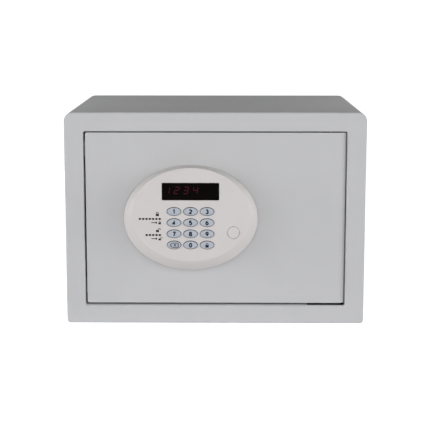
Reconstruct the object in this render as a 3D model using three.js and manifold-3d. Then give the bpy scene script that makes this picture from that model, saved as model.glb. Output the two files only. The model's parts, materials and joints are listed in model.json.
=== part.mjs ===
// An in-room hotel safe: a folded steel body, a flush door on concealed pivots, an oval keypad housing,
// and motor-driven bolt work behind a removable inner cover.
// Millimetres. +Z is up, the door faces -Y, and the origin is the middle of the body's underside.
// The door is shut and the bolts are withdrawn.

import * as THREE from "three";
import { mergeVertices } from "three/addons/utils/BufferGeometryUtils.js";
import Module from "manifold-3d";

const wasm = await Module();
wasm.setup();

// ---------- Driving dimensions ----------

const gap = 0.3; // between pieces that touch
const past = 1; // how far a cutter runs past the face that it cuts

const body = { width: 350, depth: 250, height: 250, sheet: 2 };
Object.assign(body, { topRadius: 10.5, bottomRadius: 4, frontBend: 3 });
body.front = -body.depth / 2;
body.back = body.depth / 2;
body.halfInside = body.width / 2 - body.sheet;
body.behindFlange = body.front + body.sheet + gap;

const fixing = { x: 110, baseY: 20, backZ: body.height / 2, holeRadius: 6 };

// The doorway is centred in the front, inside a flange of equal width with a return lip behind it.
const doorway = { flange: 22.5, radius: 2, lipDepth: 10.5 };
doorway.halfWidth = body.width / 2 - doorway.flange;
doorway.bottom = doorway.flange;
doorway.top = body.height - doorway.flange;
doorway.lipEnd = body.front + doorway.lipDepth;

const door = { thickness: 5, recess: 1, clearance: 1.5, edgeRound: 1.2, cornerRadius: 1.5 };
door.front = body.front + door.recess;
door.rear = door.front + door.thickness;
door.left = -doorway.halfWidth + door.clearance;
door.right = doorway.halfWidth - door.clearance;
door.bottom = doorway.bottom + door.clearance;
door.top = doorway.top - door.clearance;
door.behind = door.rear + gap;
door.roll = { across: 8, deep: 4.4 }; // the hinge edge is rolled back over this much

// The pivots stand inside the doorway, so the door's hinge edge swings in behind the flange.
const hinge = { x: door.right - 23.5, y: door.front + 8, pinRadius: 3, holeRadius: 3.3, notch: 44 };
const bracket = { halfWidth: 20, thickness: 2, rear: -102, shelf: 13 };
const hingeBlock = { halfWidth: 8, depth: 10.7, height: 20, boreDepth: 14 };

const strike = { left: -157.5, right: -154.8, rear: -84, flange: 2.5, bottom: 32, top: 218, window: 11 };
const tab = { height: 16, inset: 4, right: -145.5, front: doorway.lipEnd + 0.5, thickness: 2 };

const panel = { x: -28.2, z: 127.8, halfWidth: 77.5, halfHeight: 61, wall: 2.5 };
panel.protrusion = 20;
panel.rimDepth = 10.5;
panel.face = { z: 133.3, halfWidth: 68.5, halfHeight: 54.8 };
panel.front = door.front - panel.protrusion;
panel.inside = panel.front + panel.wall;

const keys = { pitchX: 19, pitchZ: 13.07, topZ: 137.6, halfWidth: 7.9, halfHeight: 4.6 };
keys.clearance = 0.55;
keys.proud = 1.2;
const display = { z: 160.7, halfWidth: 32.7, halfHeight: 9.9, thickness: 2.4, recess: 0.1 };
const override = { x: 21.3, z: 113, capRadius: 6.9, barrelRadius: 9.5, plugRadius: 5.5 };
override.barrelFront = panel.front + 5.2;
override.barrelRear = -100;

const cover = { left: -137, right: 110, bottom: 34, top: 216, rear: -83, sheet: 1.5, radius: 5, bend: 3 };
const reset = { x: 30, z: 62, radius: 2.6 };

const bolt = { radius: 9, y: -104, lowerZ: 75, upperZ: 175, tip: -150.5, rear: -110, spigot: 4 };
bolt.zs = [bolt.lowerZ, bolt.upperZ];
const carriage = { left: -110, right: -106, bottom: 64, top: 186, front: -113, rear: -95 };
const lug = { left: 44, right: 48.5, bottom: 104 };
const rack = { pitchZ: 124, top: 138, front: -99, rear: -95, left: -92, teeth: 20 };
rack.middleY = (rack.front + rack.rear) / 2;

const gear = { module: 1, teeth: 18, x: -60, width: 5, backlash: 0.3 };
gear.pressureAngle = THREE.MathUtils.degToRad(20);
gear.pitchRadius = (gear.module * gear.teeth) / 2;
gear.addendum = gear.module;
gear.dedendum = 1.25 * gear.module;
gear.z = rack.pitchZ - gear.pitchRadius;

const gearbox = { left: gear.x - 15, right: gear.x + 15, bottom: 90, top: 123, front: -117, rear: -101.5 };
const guide = { left: -130, thickness: 2, rear: -93, bottom: 62, top: 188, base: 1.5 };
const board = { halfWidth: 42, bottom: 42, top: 82, front: -112, thickness: 1.6 };
board.rear = board.front + board.thickness;

const cell = { radius: 7.2, length: 50.5, pitch: 15, y: -94 };
const batteryBox = { left: 26, right: 90, bottom: 142, top: 204, front: -104, rear: -85, wall: 1.5 };
batteryBox.x = (batteryBox.left + batteryBox.right) / 2;
batteryBox.z = (batteryBox.bottom + batteryBox.top) / 2;

const cable = { x: 0, z: 93, holeRadius: 7, radius: 1.5 };

// ---------- Materials ----------

function material(color, roughness, metalness = 0) {
  return new THREE.MeshStandardMaterial({ color, roughness, metalness });
}

const paint = material(0xc3c4c5, 0.55);
const zinc = material(0xaab0b4, 0.4, 0.9);
const chrome = material(0xd8dadc, 0.15, 1);
const housingPlastic = material(0xdcd8d5, 0.45);
const keyPlastic = material(0xb4bccb, 0.4);
const lensPlastic = material(0x0c0808, 0.08);
const blackPlastic = material(0x161616, 0.5);
const rubber = material(0x1c1c1c, 0.85);
const felt = material(0x3c3d40, 1);
const circuitBoard = material(0x1d5a34, 0.5);
const brass = material(0xb99a52, 0.35, 1);
const redPlastic = material(0xb0201c, 0.4);
const cellJacket = material(0x383d45, 0.3);

// ---------- Solids ----------

function solidOf(geometry) {
  const bare = geometry.index ? geometry.toNonIndexed() : geometry.clone();
  bare.deleteAttribute("normal");
  bare.deleteAttribute("uv");
  const merged = mergeVertices(bare, 1e-4);
  const vertProperties = merged.attributes.position.array;
  const triVerts = new Uint32Array(merged.index.array);
  return new wasm.Manifold(new wasm.Mesh({ numProp: 3, vertProperties, triVerts }));
}

function geometryOf(solid) {
  const mesh = solid.getMesh();
  const geometry = new THREE.BufferGeometry();
  geometry.setAttribute("position", new THREE.BufferAttribute(mesh.vertProperties, 3));
  geometry.setIndex(new THREE.BufferAttribute(mesh.triVerts, 1));
  const flat = geometry.toNonIndexed();
  flat.computeVertexNormals();
  return flat;
}

function join(first, ...others) {
  return others.reduce((sum, next) => sum.add(next), first);
}

function cut(first, ...others) {
  return others.reduce((rest, next) => rest.subtract(next), first);
}

function box(x0, x1, y0, y1, z0, z1) {
  const geometry = new THREE.BoxGeometry(x1 - x0, y1 - y0, z1 - z0);
  return solidOf(geometry.translate((x0 + x1) / 2, (y0 + y1) / 2, (z0 + z1) / 2));
}

// A turned solid about the line through `at` along "x", "y" or "z".
// Its profile holds [distance, radius] pairs.
function turned(axis, at, profile, segments = 16) {
  const first = new THREE.Vector2(0, profile[0][0]);
  const outline = profile.map(([distance, radius]) => new THREE.Vector2(radius, distance));
  const last = new THREE.Vector2(0, profile.at(-1)[0]);
  const geometry = new THREE.LatheGeometry([first, ...outline, last], segments);
  if (axis === "x") geometry.rotateZ(-Math.PI / 2);
  if (axis === "z") geometry.rotateX(Math.PI / 2);
  return solidOf(geometry.translate(...at));
}

function rod(axis, at, from, to, radius, segments) {
  return turned(axis, at, [[from, radius], [to, radius]], segments);
}

// A shape drawn in x and z, thickened from y0 to y1.
function slab(shape, y0, y1, options = {}) {
  const settings = { depth: y1 - y0, bevelEnabled: false, curveSegments: 2, ...options };
  const geometry = new THREE.ExtrudeGeometry(shape, settings);
  return solidOf(geometry.rotateX(Math.PI / 2).translate(0, y1, 0));
}

// Options for a slab whose two faces are rounded off inside its outline.
function rounding(radius) {
  const size = { bevelThickness: radius, bevelSize: radius, bevelOffset: -radius };
  return { bevelEnabled: true, bevelSegments: 2, ...size };
}

function roundedRectangle(x0, x1, z0, z1, r, topR = r) {
  const shape = new THREE.Shape();
  shape.moveTo(x0 + r, z0);
  shape.absarc(x1 - r, z0 + r, r, -Math.PI / 2, 0);
  shape.absarc(x1 - topR, z1 - topR, topR, 0, Math.PI / 2);
  shape.absarc(x0 + topR, z1 - topR, topR, Math.PI / 2, Math.PI);
  shape.absarc(x0 + r, z0 + r, r, Math.PI, 1.5 * Math.PI);
  return shape;
}

function ellipse(x, z, halfWidth, halfHeight) {
  return new THREE.Shape().absellipse(x, z, halfWidth, halfHeight, 0, 2 * Math.PI);
}

function polygon(points) {
  return new THREE.Shape(points.map(([x, z]) => new THREE.Vector2(x, z)));
}

// A closed solid through ellipses that are square to Y, ordered from front to back.
function ellipseLoft(rings, segments = 48) {
  const points = [];
  for (const { y, x, z, a, b } of rings) {
    for (let i = 0; i < segments; i++) {
      const turn = (2 * Math.PI * i) / segments;
      points.push(x + a * Math.cos(turn), y, z + b * Math.sin(turn));
    }
  }
  const at = (ring, i) => ring * segments + (i % segments);
  const last = rings.length - 1;
  const triangles = [];
  for (let ring = 0; ring < last; ring++) {
    for (let i = 0; i < segments; i++) {
      triangles.push(at(ring, i), at(ring + 1, i + 1), at(ring, i + 1));
      triangles.push(at(ring, i), at(ring + 1, i), at(ring + 1, i + 1));
    }
  }
  for (let i = 1; i + 1 < segments; i++) {
    triangles.push(at(0, 0), at(0, i), at(0, i + 1));
    triangles.push(at(last, 0), at(last, i + 1), at(last, i));
  }
  const geometry = new THREE.BufferGeometry();
  geometry.setAttribute("position", new THREE.Float32BufferAttribute(points, 3));
  geometry.setIndex(triangles);
  return solidOf(geometry);
}

// ---------- The scene ----------

const safe = new THREE.Group();
const bodyGroup = new THREE.Group();
const doorGroup = new THREE.Group();
const keypadGroup = new THREE.Group();
const boltWorkGroup = new THREE.Group();
safe.add(bodyGroup, doorGroup);
doorGroup.add(keypadGroup, boltWorkGroup);

function add(group, name, solid, itsMaterial, at = [0, 0, 0], turn = [0, 0, 0]) {
  const mesh = new THREE.Mesh(geometryOf(solid), itsMaterial);
  mesh.name = name;
  mesh.position.set(...at);
  mesh.rotation.set(...turn);
  group.add(mesh);
}

const upsideDownAboutX = [Math.PI, 0, 0];
const upsideDownAboutY = [0, Math.PI, 0];

// ---------- Body ----------

function doorwayOutline(grow) {
  const { halfWidth, bottom, top, radius } = doorway;
  return roundedRectangle(-halfWidth - grow, halfWidth + grow, bottom - grow, top + grow, radius + grow);
}

function bodyOutline(inset) {
  const half = body.width / 2 - inset;
  const radii = [body.bottomRadius - inset, body.topRadius - inset];
  return roundedRectangle(-half, half, inset, body.height - inset, ...radii);
}

// A sheet-metal tube with a flanged front. The lips are notched for the pivot pins at the hinge side.
function bodyShell() {
  const { frontBend, sheet, front, back, width, height } = body;
  const outer = slab(bodyOutline(0), front + frontBend, back + frontBend + past, rounding(frontBend));
  const behind = box(-width, width, back, back + 10 * frontBend, -past, height + past);
  const cavity = slab(bodyOutline(sheet), front + sheet, back + past);
  const opening = slab(doorwayOutline(0), front - past, doorway.lipEnd + past);
  const lip = slab(doorwayOutline(sheet), front + sheet / 2, doorway.lipEnd);
  const notches = [doorway.bottom - sheet, doorway.top].map((z) => {
    const right = doorway.halfWidth;
    return box(right - hinge.notch, right, front + sheet, doorway.lipEnd + past, z - past, z + sheet + past);
  });
  const holes = [-fixing.x, fixing.x].map((x) =>
    rod("z", [x, fixing.baseY, 0], -past, sheet + past, fixing.holeRadius),
  );
  return cut(join(cut(outer, behind, cavity), lip), opening, ...notches, ...holes);
}

function backPanel() {
  const half = body.halfInside - gap;
  const { sheet, bottomRadius, topRadius, height } = body;
  const radii = [bottomRadius - sheet, topRadius - sheet];
  const outline = roundedRectangle(-half, half, sheet + gap, height - sheet - gap, ...radii);
  const holes = [-fixing.x, fixing.x].map((x) =>
    rod("y", [x, 0, fixing.backZ], body.back - sheet - past, body.back + past, fixing.holeRadius),
  );
  return cut(slab(outline, body.back - sheet, body.back), ...holes);
}

const mat = { halfWidth: 167, front: -99, thickness: 3, bottom: body.sheet + gap, holeMargin: 3 };

function floorMat() {
  const { halfWidth, front, bottom, thickness } = mat;
  const back = body.back - body.sheet - 1.5;
  const holes = [-fixing.x, fixing.x].map((x) =>
    rod("z", [x, fixing.baseY, 0], 0, bottom + thickness + past, fixing.holeRadius + mat.holeMargin),
  );
  return cut(box(-halfWidth, halfWidth, front, back, bottom, bottom + thickness), ...holes);
}

// A blanking plug along Y: a flat head inside the safe, and a stem that fills the fixing hole.
function holePlug() {
  const head = fixing.holeRadius + 2;
  const stem = fixing.holeRadius - 0.4;
  return turned("y", [0, 0, 0], [[-1.5, head - 1], [0, head], [0, stem], [1.8, stem]]);
}

// A channel behind the doorway's left lip. The bolts enter its windows, and its two tabs stop the door.
function strikePlate() {
  const { left, right, rear, flange, bottom, top, window } = strike;
  const front = body.behindFlange;
  const wall = -body.halfInside + gap;
  const channel = join(
    box(left, right, front, rear, bottom, top),
    box(wall, left, front, front + flange, bottom, top),
    box(wall, left, rear - flange, rear, bottom, top),
  );
  const windows = bolt.zs.map((z) =>
    box(left - past, right + past, bolt.y - window, bolt.y + window, z - window, z + window),
  );
  const tabs = tabBottoms().map((z) =>
    box(left, tab.right, tab.front, tab.front + tab.thickness, z, z + tab.height),
  );
  return join(cut(channel, ...windows), ...tabs);
}

function tabBottoms() {
  return [strike.bottom + tab.inset, strike.top - tab.inset - tab.height];
}

// A bumper stuck to the front of a stop tab.
function stopPad() {
  const width = 6;
  const margin = 2;
  return box(tab.right - width, tab.right, door.behind, tab.front - gap, margin, tab.height - margin);
}

// The lower hinge's angle, welded behind the flange. It is centred on the pivot's x.
function hingeBracket() {
  const { halfWidth, thickness, rear, shelf } = bracket;
  const front = body.behindFlange;
  const angle = join(
    box(-halfWidth, halfWidth, front, rear, shelf, shelf + thickness),
    box(-halfWidth, halfWidth, front, front + thickness, body.sheet + gap, shelf + thickness),
  );
  return cut(angle, rod("z", [0, hinge.y, 0], shelf - past, shelf + thickness + past, hinge.holeRadius));
}

// The lower pivot pin. Its head is under the bracket, and its collar carries the door's hinge block.
function hingePin() {
  const { pinRadius } = hinge;
  const head = bracket.shelf - gap;
  const shoulder = bracket.shelf + bracket.thickness + gap;
  const seat = door.bottom - gap;
  const profile = [[head - 3, 4.2], [head, 4.2], [head, pinRadius], [shoulder, pinRadius]];
  profile.push([shoulder, 5], [seat, 5], [seat, pinRadius], [seat + 12, pinRadius]);
  return turned("z", [0, 0, 0], profile, 12);
}

function addBody() {
  add(bodyGroup, "body_shell", bodyShell(), paint);
  add(bodyGroup, "back_panel", backPanel(), paint);
  add(bodyGroup, "floor_mat", floorMat(), felt);
  const downwards = [-Math.PI / 2, 0, 0];
  const inner = body.sheet + gap;
  for (const [side, x] of [["left", -fixing.x], ["right", fixing.x]]) {
    const inBase = [x, fixing.baseY, inner];
    const inBack = [x, body.back - inner, fixing.backZ];
    add(bodyGroup, `base_hole_plug_${side}`, holePlug(), blackPlastic, inBase, downwards);
    add(bodyGroup, `back_hole_plug_${side}`, holePlug(), blackPlastic, inBack);
  }
  add(bodyGroup, "strike_plate", strikePlate(), zinc);
  const [lowerTab, upperTab] = tabBottoms();
  add(bodyGroup, "stop_pad_lower", stopPad(), rubber, [0, 0, lowerTab]);
  add(bodyGroup, "stop_pad_upper", stopPad(), rubber, [0, 0, upperTab]);
  const top = body.height;
  add(bodyGroup, "lower_hinge_bracket", hingeBracket(), zinc, [hinge.x, 0, 0]);
  add(bodyGroup, "upper_hinge_bracket", hingeBracket(), zinc, [hinge.x, 0, top], upsideDownAboutY);
  add(bodyGroup, "lower_hinge_pin", hingePin(), zinc, [hinge.x, hinge.y, 0]);
  add(bodyGroup, "upper_hinge_pin", hingePin(), zinc, [hinge.x, hinge.y, top], upsideDownAboutX);
}

// ---------- Door ----------

const coverScrew = { headRadius: 4, shankRadius: 2, length: 10, insetX: 11, insetZ: 10.5 };
coverScrew.places = [cover.left + coverScrew.insetX, cover.right - coverScrew.insetX].flatMap((x) =>
  [cover.bottom + coverScrew.insetZ, cover.top - coverScrew.insetZ].map((z) => [x, z]),
);
const housingScrew = { headRadius: 3.8, shankRadius: 1.9, length: 14, offsetX: 60 };
housingScrew.places = [-1, 1].map((side) => [panel.x + side * housingScrew.offsetX, panel.z]);

// The space that the door plate may fill, seen from above: its hinge edge is rolled back.
function rolledHingeEdge() {
  const { left, right, front, rear, roll, bottom, top } = door;
  const outline = new THREE.Shape();
  outline.moveTo(left - past, front - past);
  outline.lineTo(right - roll.across, front - past);
  outline.lineTo(right - roll.across, front);
  outline.absellipse(right - roll.across, front + roll.deep, roll.across, roll.deep, -Math.PI / 2, 0);
  outline.lineTo(right + past, front + roll.deep);
  outline.lineTo(right + past, rear + past);
  outline.lineTo(left - past, rear + past);
  const depth = top - bottom + 2 * past;
  const geometry = new THREE.ExtrudeGeometry(outline, { depth, bevelEnabled: false, curveSegments: 4 });
  return solidOf(geometry.translate(0, 0, bottom - past));
}

// The door plate, with the four posts for the inner cover welded to its rear.
function doorPlate() {
  const { left, right, bottom, top, front, rear, edgeRound, cornerRadius } = door;
  const outline = roundedRectangle(left, right, bottom, top, cornerRadius);
  const blank = slab(outline, front + edgeRound, rear - edgeRound, rounding(edgeRound));
  const plate = blank.intersect(rolledHingeEdge());
  const postEnd = cover.rear - cover.sheet - gap;
  const posts = coverScrew.places.map(([x, z]) => rod("y", [x, 0, z], rear - past, postEnd, 4, 12));
  const threads = coverScrew.places.map(([x, z]) =>
    rod("y", [x, 0, z], postEnd - coverScrew.length, postEnd + past, coverScrew.shankRadius + gap, 8),
  );
  const through = (x, z, radius) => rod("y", [x, 0, z], front - past, rear + past, radius);
  const screwHoles = housingScrew.places.map(([x, z]) => through(x, z, housingScrew.shankRadius + 0.6));
  const lockHole = through(override.x, override.z, override.barrelRadius + 0.5);
  const cableHole = through(cable.x, cable.z, cable.holeRadius);
  return cut(join(plate, ...posts), ...threads, ...screwHoles, lockHole, cableHole);
}

// The lower hinge block, centred on the pivot's x, with a blind hole from below.
function lowerHingeBlock() {
  const { halfWidth, depth, height, boreDepth } = hingeBlock;
  const top = door.bottom + height;
  const block = box(-halfWidth, halfWidth, door.behind, door.behind + depth, door.bottom, top);
  return cut(block, rod("z", [0, hinge.y, 0], door.bottom - past, door.bottom + boreDepth, hinge.holeRadius));
}

// The inner cover is a tray that is open towards the door plate.
function innerCover() {
  const { left, right, bottom, top, rear, sheet, radius, bend } = cover;
  const front = door.behind;
  const outline = roundedRectangle(left, right, bottom, top, radius);
  const outer = slab(outline, front - 3 * bend, rear - bend, rounding(bend));
  const ahead = box(left - past, right + past, front - 5 * bend, front, bottom - past, top + past);
  const hollow = roundedRectangle(left + sheet, right - sheet, bottom + sheet, top - sheet, radius - sheet);
  const through = (x, z, radius_, segments) =>
    rod("y", [x, 0, z], rear - sheet - past, rear + past, radius_, segments);
  const margin = { x: 6, z: 4 };
  const batteryOpening = box(
    batteryBox.left + margin.x,
    batteryBox.right - margin.x,
    rear - sheet - past,
    rear + past,
    batteryBox.bottom + margin.z,
    batteryBox.top - margin.z,
  );
  return cut(
    outer,
    ahead,
    slab(hollow, front - past, rear - sheet),
    batteryOpening,
    ...bolt.zs.map((z) => rod("x", [0, bolt.y, z], left - past, left + sheet + past, bolt.radius + 0.8)),
    ...coverScrew.places.map(([x, z]) => through(x, z, coverScrew.shankRadius + gap, 12)),
    through(reset.x, reset.z, reset.radius + 0.4),
  );
}

// A pan-head screw along Y with a cross recess.
// The underside of its head is at y = 0, and its head faces +Y.
function screw({ headRadius, shankRadius, length }) {
  const rim = 1.2;
  const crown = 2.3;
  const profile = [[-length, shankRadius], [0, shankRadius], [0, headRadius], [rim, headRadius]];
  profile.push([crown, 0.6 * headRadius]);
  const halfSlot = 0.45;
  const reach = 0.6 * headRadius;
  const slot = (dx, dz) => box(-dx, dx, rim, crown + past, -dz, dz);
  return cut(turned("y", [0, 0, 0], profile, 12), slot(reach, halfSlot), slot(halfSlot, reach));
}

// The plate that carries the gearbox, with the upright guide for the two bolts.
function mechanismPlate() {
  const { left, thickness, rear, bottom, top, base } = guide;
  const strip = -100; // right edge of the narrow stretches above and below the gearbox
  const right = gearbox.right + 3;
  const outline = polygon([
    [left, bottom],
    [strip, bottom],
    [strip, gearbox.bottom - 2],
    [right, gearbox.bottom - 2],
    [right, gearbox.top - 4],
    [strip, gearbox.top - 4],
    [strip, top],
    [left, top],
  ]);
  const upright = box(left, left + thickness, door.behind, rear, bottom, top);
  const bores = bolt.zs.map((z) =>
    rod("x", [0, bolt.y, z], left - past, left + thickness + past, bolt.radius + 0.4),
  );
  return cut(join(slab(outline, door.behind, door.behind + base), upright), ...bores);
}

function gearboxBlock() {
  const { left, right, bottom, top, front, rear } = gearbox;
  const block = slab(roundedRectangle(left, right, bottom, top, 3), front, rear);
  return cut(block, rod("y", [gear.x, 0, gear.z], rear - 7, rear + past, 2.4));
}

// A small can motor that lies along X beside the gearbox.
function motor() {
  const start = gearbox.right + gap;
  const end = start + 28.7;
  const profile = [[start, 7], [start + 1.2, 8], [end - 1, 8], [end, 7], [end, 2.5], [end + 2, 2.5]];
  return turned("x", [0, -109, gearbox.bottom + 9], profile);
}

// A circuit board with its taller parts and its four spacer posts.
function controlBoard() {
  const { halfWidth, bottom, top, front, rear } = board;
  const inset = 4;
  const into = 0.5; // how far a part is sunk into the board to join it
  const posts = [-halfWidth + inset, halfWidth - inset].flatMap((x) =>
    [bottom + inset, top - inset].map((z) => rod("y", [x, 0, z], door.behind, front + into, 2.5, 12)),
  );
  const part = (x0, x1, height, z0, z1) => box(x0, x1, rear - into, rear + height, z0, z1);
  return join(
    box(-halfWidth, halfWidth, front, rear, bottom, top),
    ...posts,
    part(-34, -20, 2, 50, 64), // processor
    part(-34, -22, 6, 70, 78), // motor plug
    part(-10, 8, 2.5, 52, 60), // driver
    part(-8, 12, 5, 70, 79), // keypad plug
    part(26, 34, 0.4, 58, 66), // reset switch
    rod("y", [0, 0, 65], rear - into, rear + 5, 3, 12), // capacitor
  );
}

function batteryHolder() {
  const { left, right, bottom, top, front, rear, wall } = batteryBox;
  const hollow = box(left + wall, right - wall, front + wall, rear + past, bottom + wall, top - wall);
  return cut(box(left, right, front, rear, bottom, top), hollow);
}

// An AA cell along Z, centred on the origin, with its raised contact on top.
function batteryCell() {
  const { radius, length } = cell;
  const foot = -length / 2;
  const shoulder = length / 2 - 1.5;
  const contact = 2.7;
  const profile = [[foot, radius - 0.7], [foot + 0.7, radius], [shoulder - 1, radius]];
  profile.push([shoulder, radius - 1.5], [shoulder, contact], [length / 2, contact]);
  return turned("z", [0, 0, 0], profile);
}

// The lead from the keypad board, through the door plate, to the control board's plug.
function keypadLead() {
  const route = [[-135.6, 98], [-129, 98], [-121, 95], [-113, 91], [-108.4, 86], [-107, 80.5]];
  const curve = new THREE.CatmullRomCurve3(route.map(([y, z]) => new THREE.Vector3(cable.x, y, z)));
  const section = new THREE.Shape().absarc(0, 0, cable.radius, 0, 2 * Math.PI);
  const settings = { steps: 10, curveSegments: 4, bevelEnabled: false, extrudePath: curve };
  return solidOf(new THREE.ExtrudeGeometry(section, settings));
}

function addDoor() {
  add(doorGroup, "door_plate", doorPlate(), paint);
  add(doorGroup, "lower_hinge_block", lowerHingeBlock(), zinc, [hinge.x, 0, 0]);
  add(doorGroup, "upper_hinge_block", lowerHingeBlock(), zinc, [hinge.x, 0, body.height], upsideDownAboutY);
  add(doorGroup, "inner_cover", innerCover(), paint);
  coverScrew.places.forEach(([x, z], i) => {
    add(doorGroup, `cover_screw_${i + 1}`, screw(coverScrew), zinc, [x, cover.rear + gap, z]);
  });
  housingScrew.places.forEach(([x, z], i) => {
    add(doorGroup, `housing_screw_${i + 1}`, screw(housingScrew), zinc, [x, door.behind, z]);
  });
  add(doorGroup, "mechanism_plate", mechanismPlate(), zinc);
  add(doorGroup, "gearbox", gearboxBlock(), blackPlastic);
  add(doorGroup, "motor", motor(), zinc);
  add(doorGroup, "control_board", controlBoard(), circuitBoard);
  add(doorGroup, "battery_holder", batteryHolder(), blackPlastic);
  for (let i = 0; i < 4; i++) {
    const x = batteryBox.x + (i - 1.5) * cell.pitch;
    const turn = i % 2 ? upsideDownAboutX : [0, 0, 0];
    add(doorGroup, `battery_${i + 1}`, batteryCell(), cellJacket, [x, cell.y, batteryBox.z], turn);
  }
  add(doorGroup, "keypad_lead", keypadLead(), blackPlastic);
}

// ---------- Keypad ----------

const keyRows = [
  ["key_1", "key_2", "key_3"],
  ["key_4", "key_5", "key_6"],
  ["key_7", "key_8", "key_9"],
  ["key_clear", "key_0", "key_lock"],
];

function keyPlace(row, column) {
  return [panel.x + (column - 1) * keys.pitchX, keys.topZ - row * keys.pitchZ];
}

// A ring of the housing. `share` is 0 at the outer rim and 1 at the edge of the face; `inset` is the wall.
function housingRing(y, share, inset = 0) {
  const mix = THREE.MathUtils.lerp;
  return {
    y,
    x: panel.x,
    z: mix(panel.z, panel.face.z, share),
    a: mix(panel.halfWidth, panel.face.halfWidth, share) - inset,
    b: mix(panel.halfHeight, panel.face.halfHeight, share) - inset,
  };
}

// The keypad housing: an oval shell that stands on the door and slopes in to a smaller, raised face.
function keypadHousing() {
  const { front, wall, inside } = panel;
  const base = door.front - gap;
  const rim = door.front - panel.rimDepth;
  const outer = ellipseLoft([
    housingRing(front, 1.05),
    housingRing(front + 0.5, 0.97),
    housingRing(rim - 0.8, 0.08),
    housingRing(rim, 0.01),
    housingRing(base, 0),
  ]);
  const hollow = ellipseLoft([
    housingRing(inside, 1, wall),
    housingRing(rim, 0, wall),
    housingRing(base + past, 0, wall),
  ]);
  const bosses = housingScrew.places.map(([x, z]) => rod("y", [x, 0, z], inside - past / 2, base, 4));
  const pilots = housingScrew.places.map(([x, z]) =>
    rod("y", [x, 0, z], base - housingScrew.length, base + past, housingScrew.shankRadius + gap, 12),
  );
  const through = (shape, curveSegments = 2) => slab(shape, front - past, inside + past, { curveSegments });
  const across = display.halfWidth + gap;
  const up = display.halfHeight + gap;
  const window = roundedRectangle(panel.x - across, panel.x + across, display.z - up, display.z + up, 0.8);
  const keyHoles = keyRows.flatMap((names, row) =>
    names.map((_, column) => {
      const [x, z] = keyPlace(row, column);
      return through(ellipse(x, z, keys.halfWidth + keys.clearance, keys.halfHeight + keys.clearance), 10);
    }),
  );
  const capHole = override.capRadius + 0.35;
  return cut(
    join(cut(outer, hollow), ...bosses),
    ...pilots,
    through(window),
    ...keyHoles,
    through(ellipse(override.x, override.z, capHole, capHole), 12),
  );
}

function displayWindow() {
  const { z, halfWidth, halfHeight, thickness, recess } = display;
  const { x, front } = panel;
  const outline = roundedRectangle(x - halfWidth, x + halfWidth, z - halfHeight, z + halfHeight, 0.6);
  return slab(outline, front + recess, front + recess + thickness);
}

function ledDisplay() {
  const behindWindow = panel.front + display.recess + display.thickness + 0.5;
  const margin = 0.7;
  const halfHeight = display.halfHeight - 1.4;
  return box(
    panel.x - display.halfWidth + margin,
    panel.x + display.halfWidth - margin,
    behindWindow,
    behindWindow + 3.2,
    display.z - halfHeight,
    display.z + halfHeight,
  );
}

function keypadBoard() {
  const front = panel.front + 6.5;
  return slab(roundedRectangle(-66, 9, 88, 176, 4), front, front + board.thickness);
}

// A key, centred on the origin: a crowned cap, a wider skirt that the housing holds back, and a plunger.
function keyCap() {
  const { halfWidth, halfHeight, proud } = keys;
  const ring = (y, grow) => ({ y, x: 0, z: 0, a: halfWidth + grow, b: halfHeight + grow });
  const crown = panel.front - proud;
  const skirt = panel.inside + gap;
  return join(
    ellipseLoft([ring(crown, -1.2), ring(crown + 0.6, 0), ring(skirt + 0.5, 0)], 20),
    ellipseLoft([ring(skirt, 1.2), ring(skirt + 1, 1.2)], 16),
    rod("y", [0, 0, 0], skirt + 0.7, skirt + 2.3, 2, 6),
  );
}

// The round cap that hides the emergency lock. It clips into the housing.
function overrideCap() {
  const front = panel.front - 0.4;
  const { capRadius } = override;
  const clip = capRadius - 1.4;
  const profile = [[front, capRadius - 0.6], [front + 0.5, capRadius], [front + 2.6, capRadius]];
  profile.push([front + 2.6, clip], [front + 5, clip]);
  const disc = turned("y", [0, 0, 0], profile, 24);
  return cut(disc, rod("y", [0, 0, 0], front + 2, front + 5 + past, clip - 1));
}

function addKeypad() {
  add(keypadGroup, "keypad_housing", keypadHousing(), housingPlastic);
  add(keypadGroup, "display_window", displayWindow(), lensPlastic);
  add(keypadGroup, "led_display", ledDisplay(), blackPlastic);
  add(keypadGroup, "keypad_board", keypadBoard(), circuitBoard);
  keyRows.forEach((names, row) => {
    names.forEach((name, column) => {
      const [x, z] = keyPlace(row, column);
      add(keypadGroup, name, keyCap(), keyPlastic, [x, 0, z]);
    });
  });
  add(keypadGroup, "override_cap", overrideCap(), housingPlastic, [override.x, 0, override.z]);
}

// ---------- Emergency lock ----------

function lockBarrel() {
  const { barrelFront, barrelRear, barrelRadius, plugRadius } = override;
  const barrel = rod("y", [0, 0, 0], barrelFront, barrelRear, barrelRadius, 24);
  return cut(barrel, rod("y", [0, 0, 0], barrelFront - past, barrelRear + past, plugRadius + gap));
}

const cam = { front: rack.front + 0.2, thickness: 2.8, hub: 6, reach: 21, tip: 3.5 };
const lockTail = 3;

// The lock's plug with its keyway, and the tail that carries the cam.
function lockPlug() {
  const { barrelFront, barrelRear, plugRadius } = override;
  const plugEnd = barrelRear + gap;
  const tailEnd = -93.5;
  const profile = [[barrelFront, plugRadius], [plugEnd, plugRadius]];
  profile.push([plugEnd, lockTail], [tailEnd, lockTail]);
  const keyway = box(-0.7, 0.7, barrelFront - past, barrelFront + 24, -4, 3.6);
  return cut(turned("y", [0, 0, 0], profile), keyway);
}

// The cam hangs down at rest. A quarter turn swings it against the bolt carriage's lug.
function lockCam() {
  const { front, thickness, hub, reach, tip } = cam;
  const rightSide = [[hub, hub], [hub, -hub / 2], [tip, -reach]];
  const leftSide = rightSide.map(([x, z]) => [-x, z]).reverse();
  const lever = polygon([...leftSide, ...rightSide]);
  const hole = rod("y", [0, 0, 0], front - past, front + thickness + past, lockTail + gap);
  return cut(slab(lever, front, front + thickness), hole);
}

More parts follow.
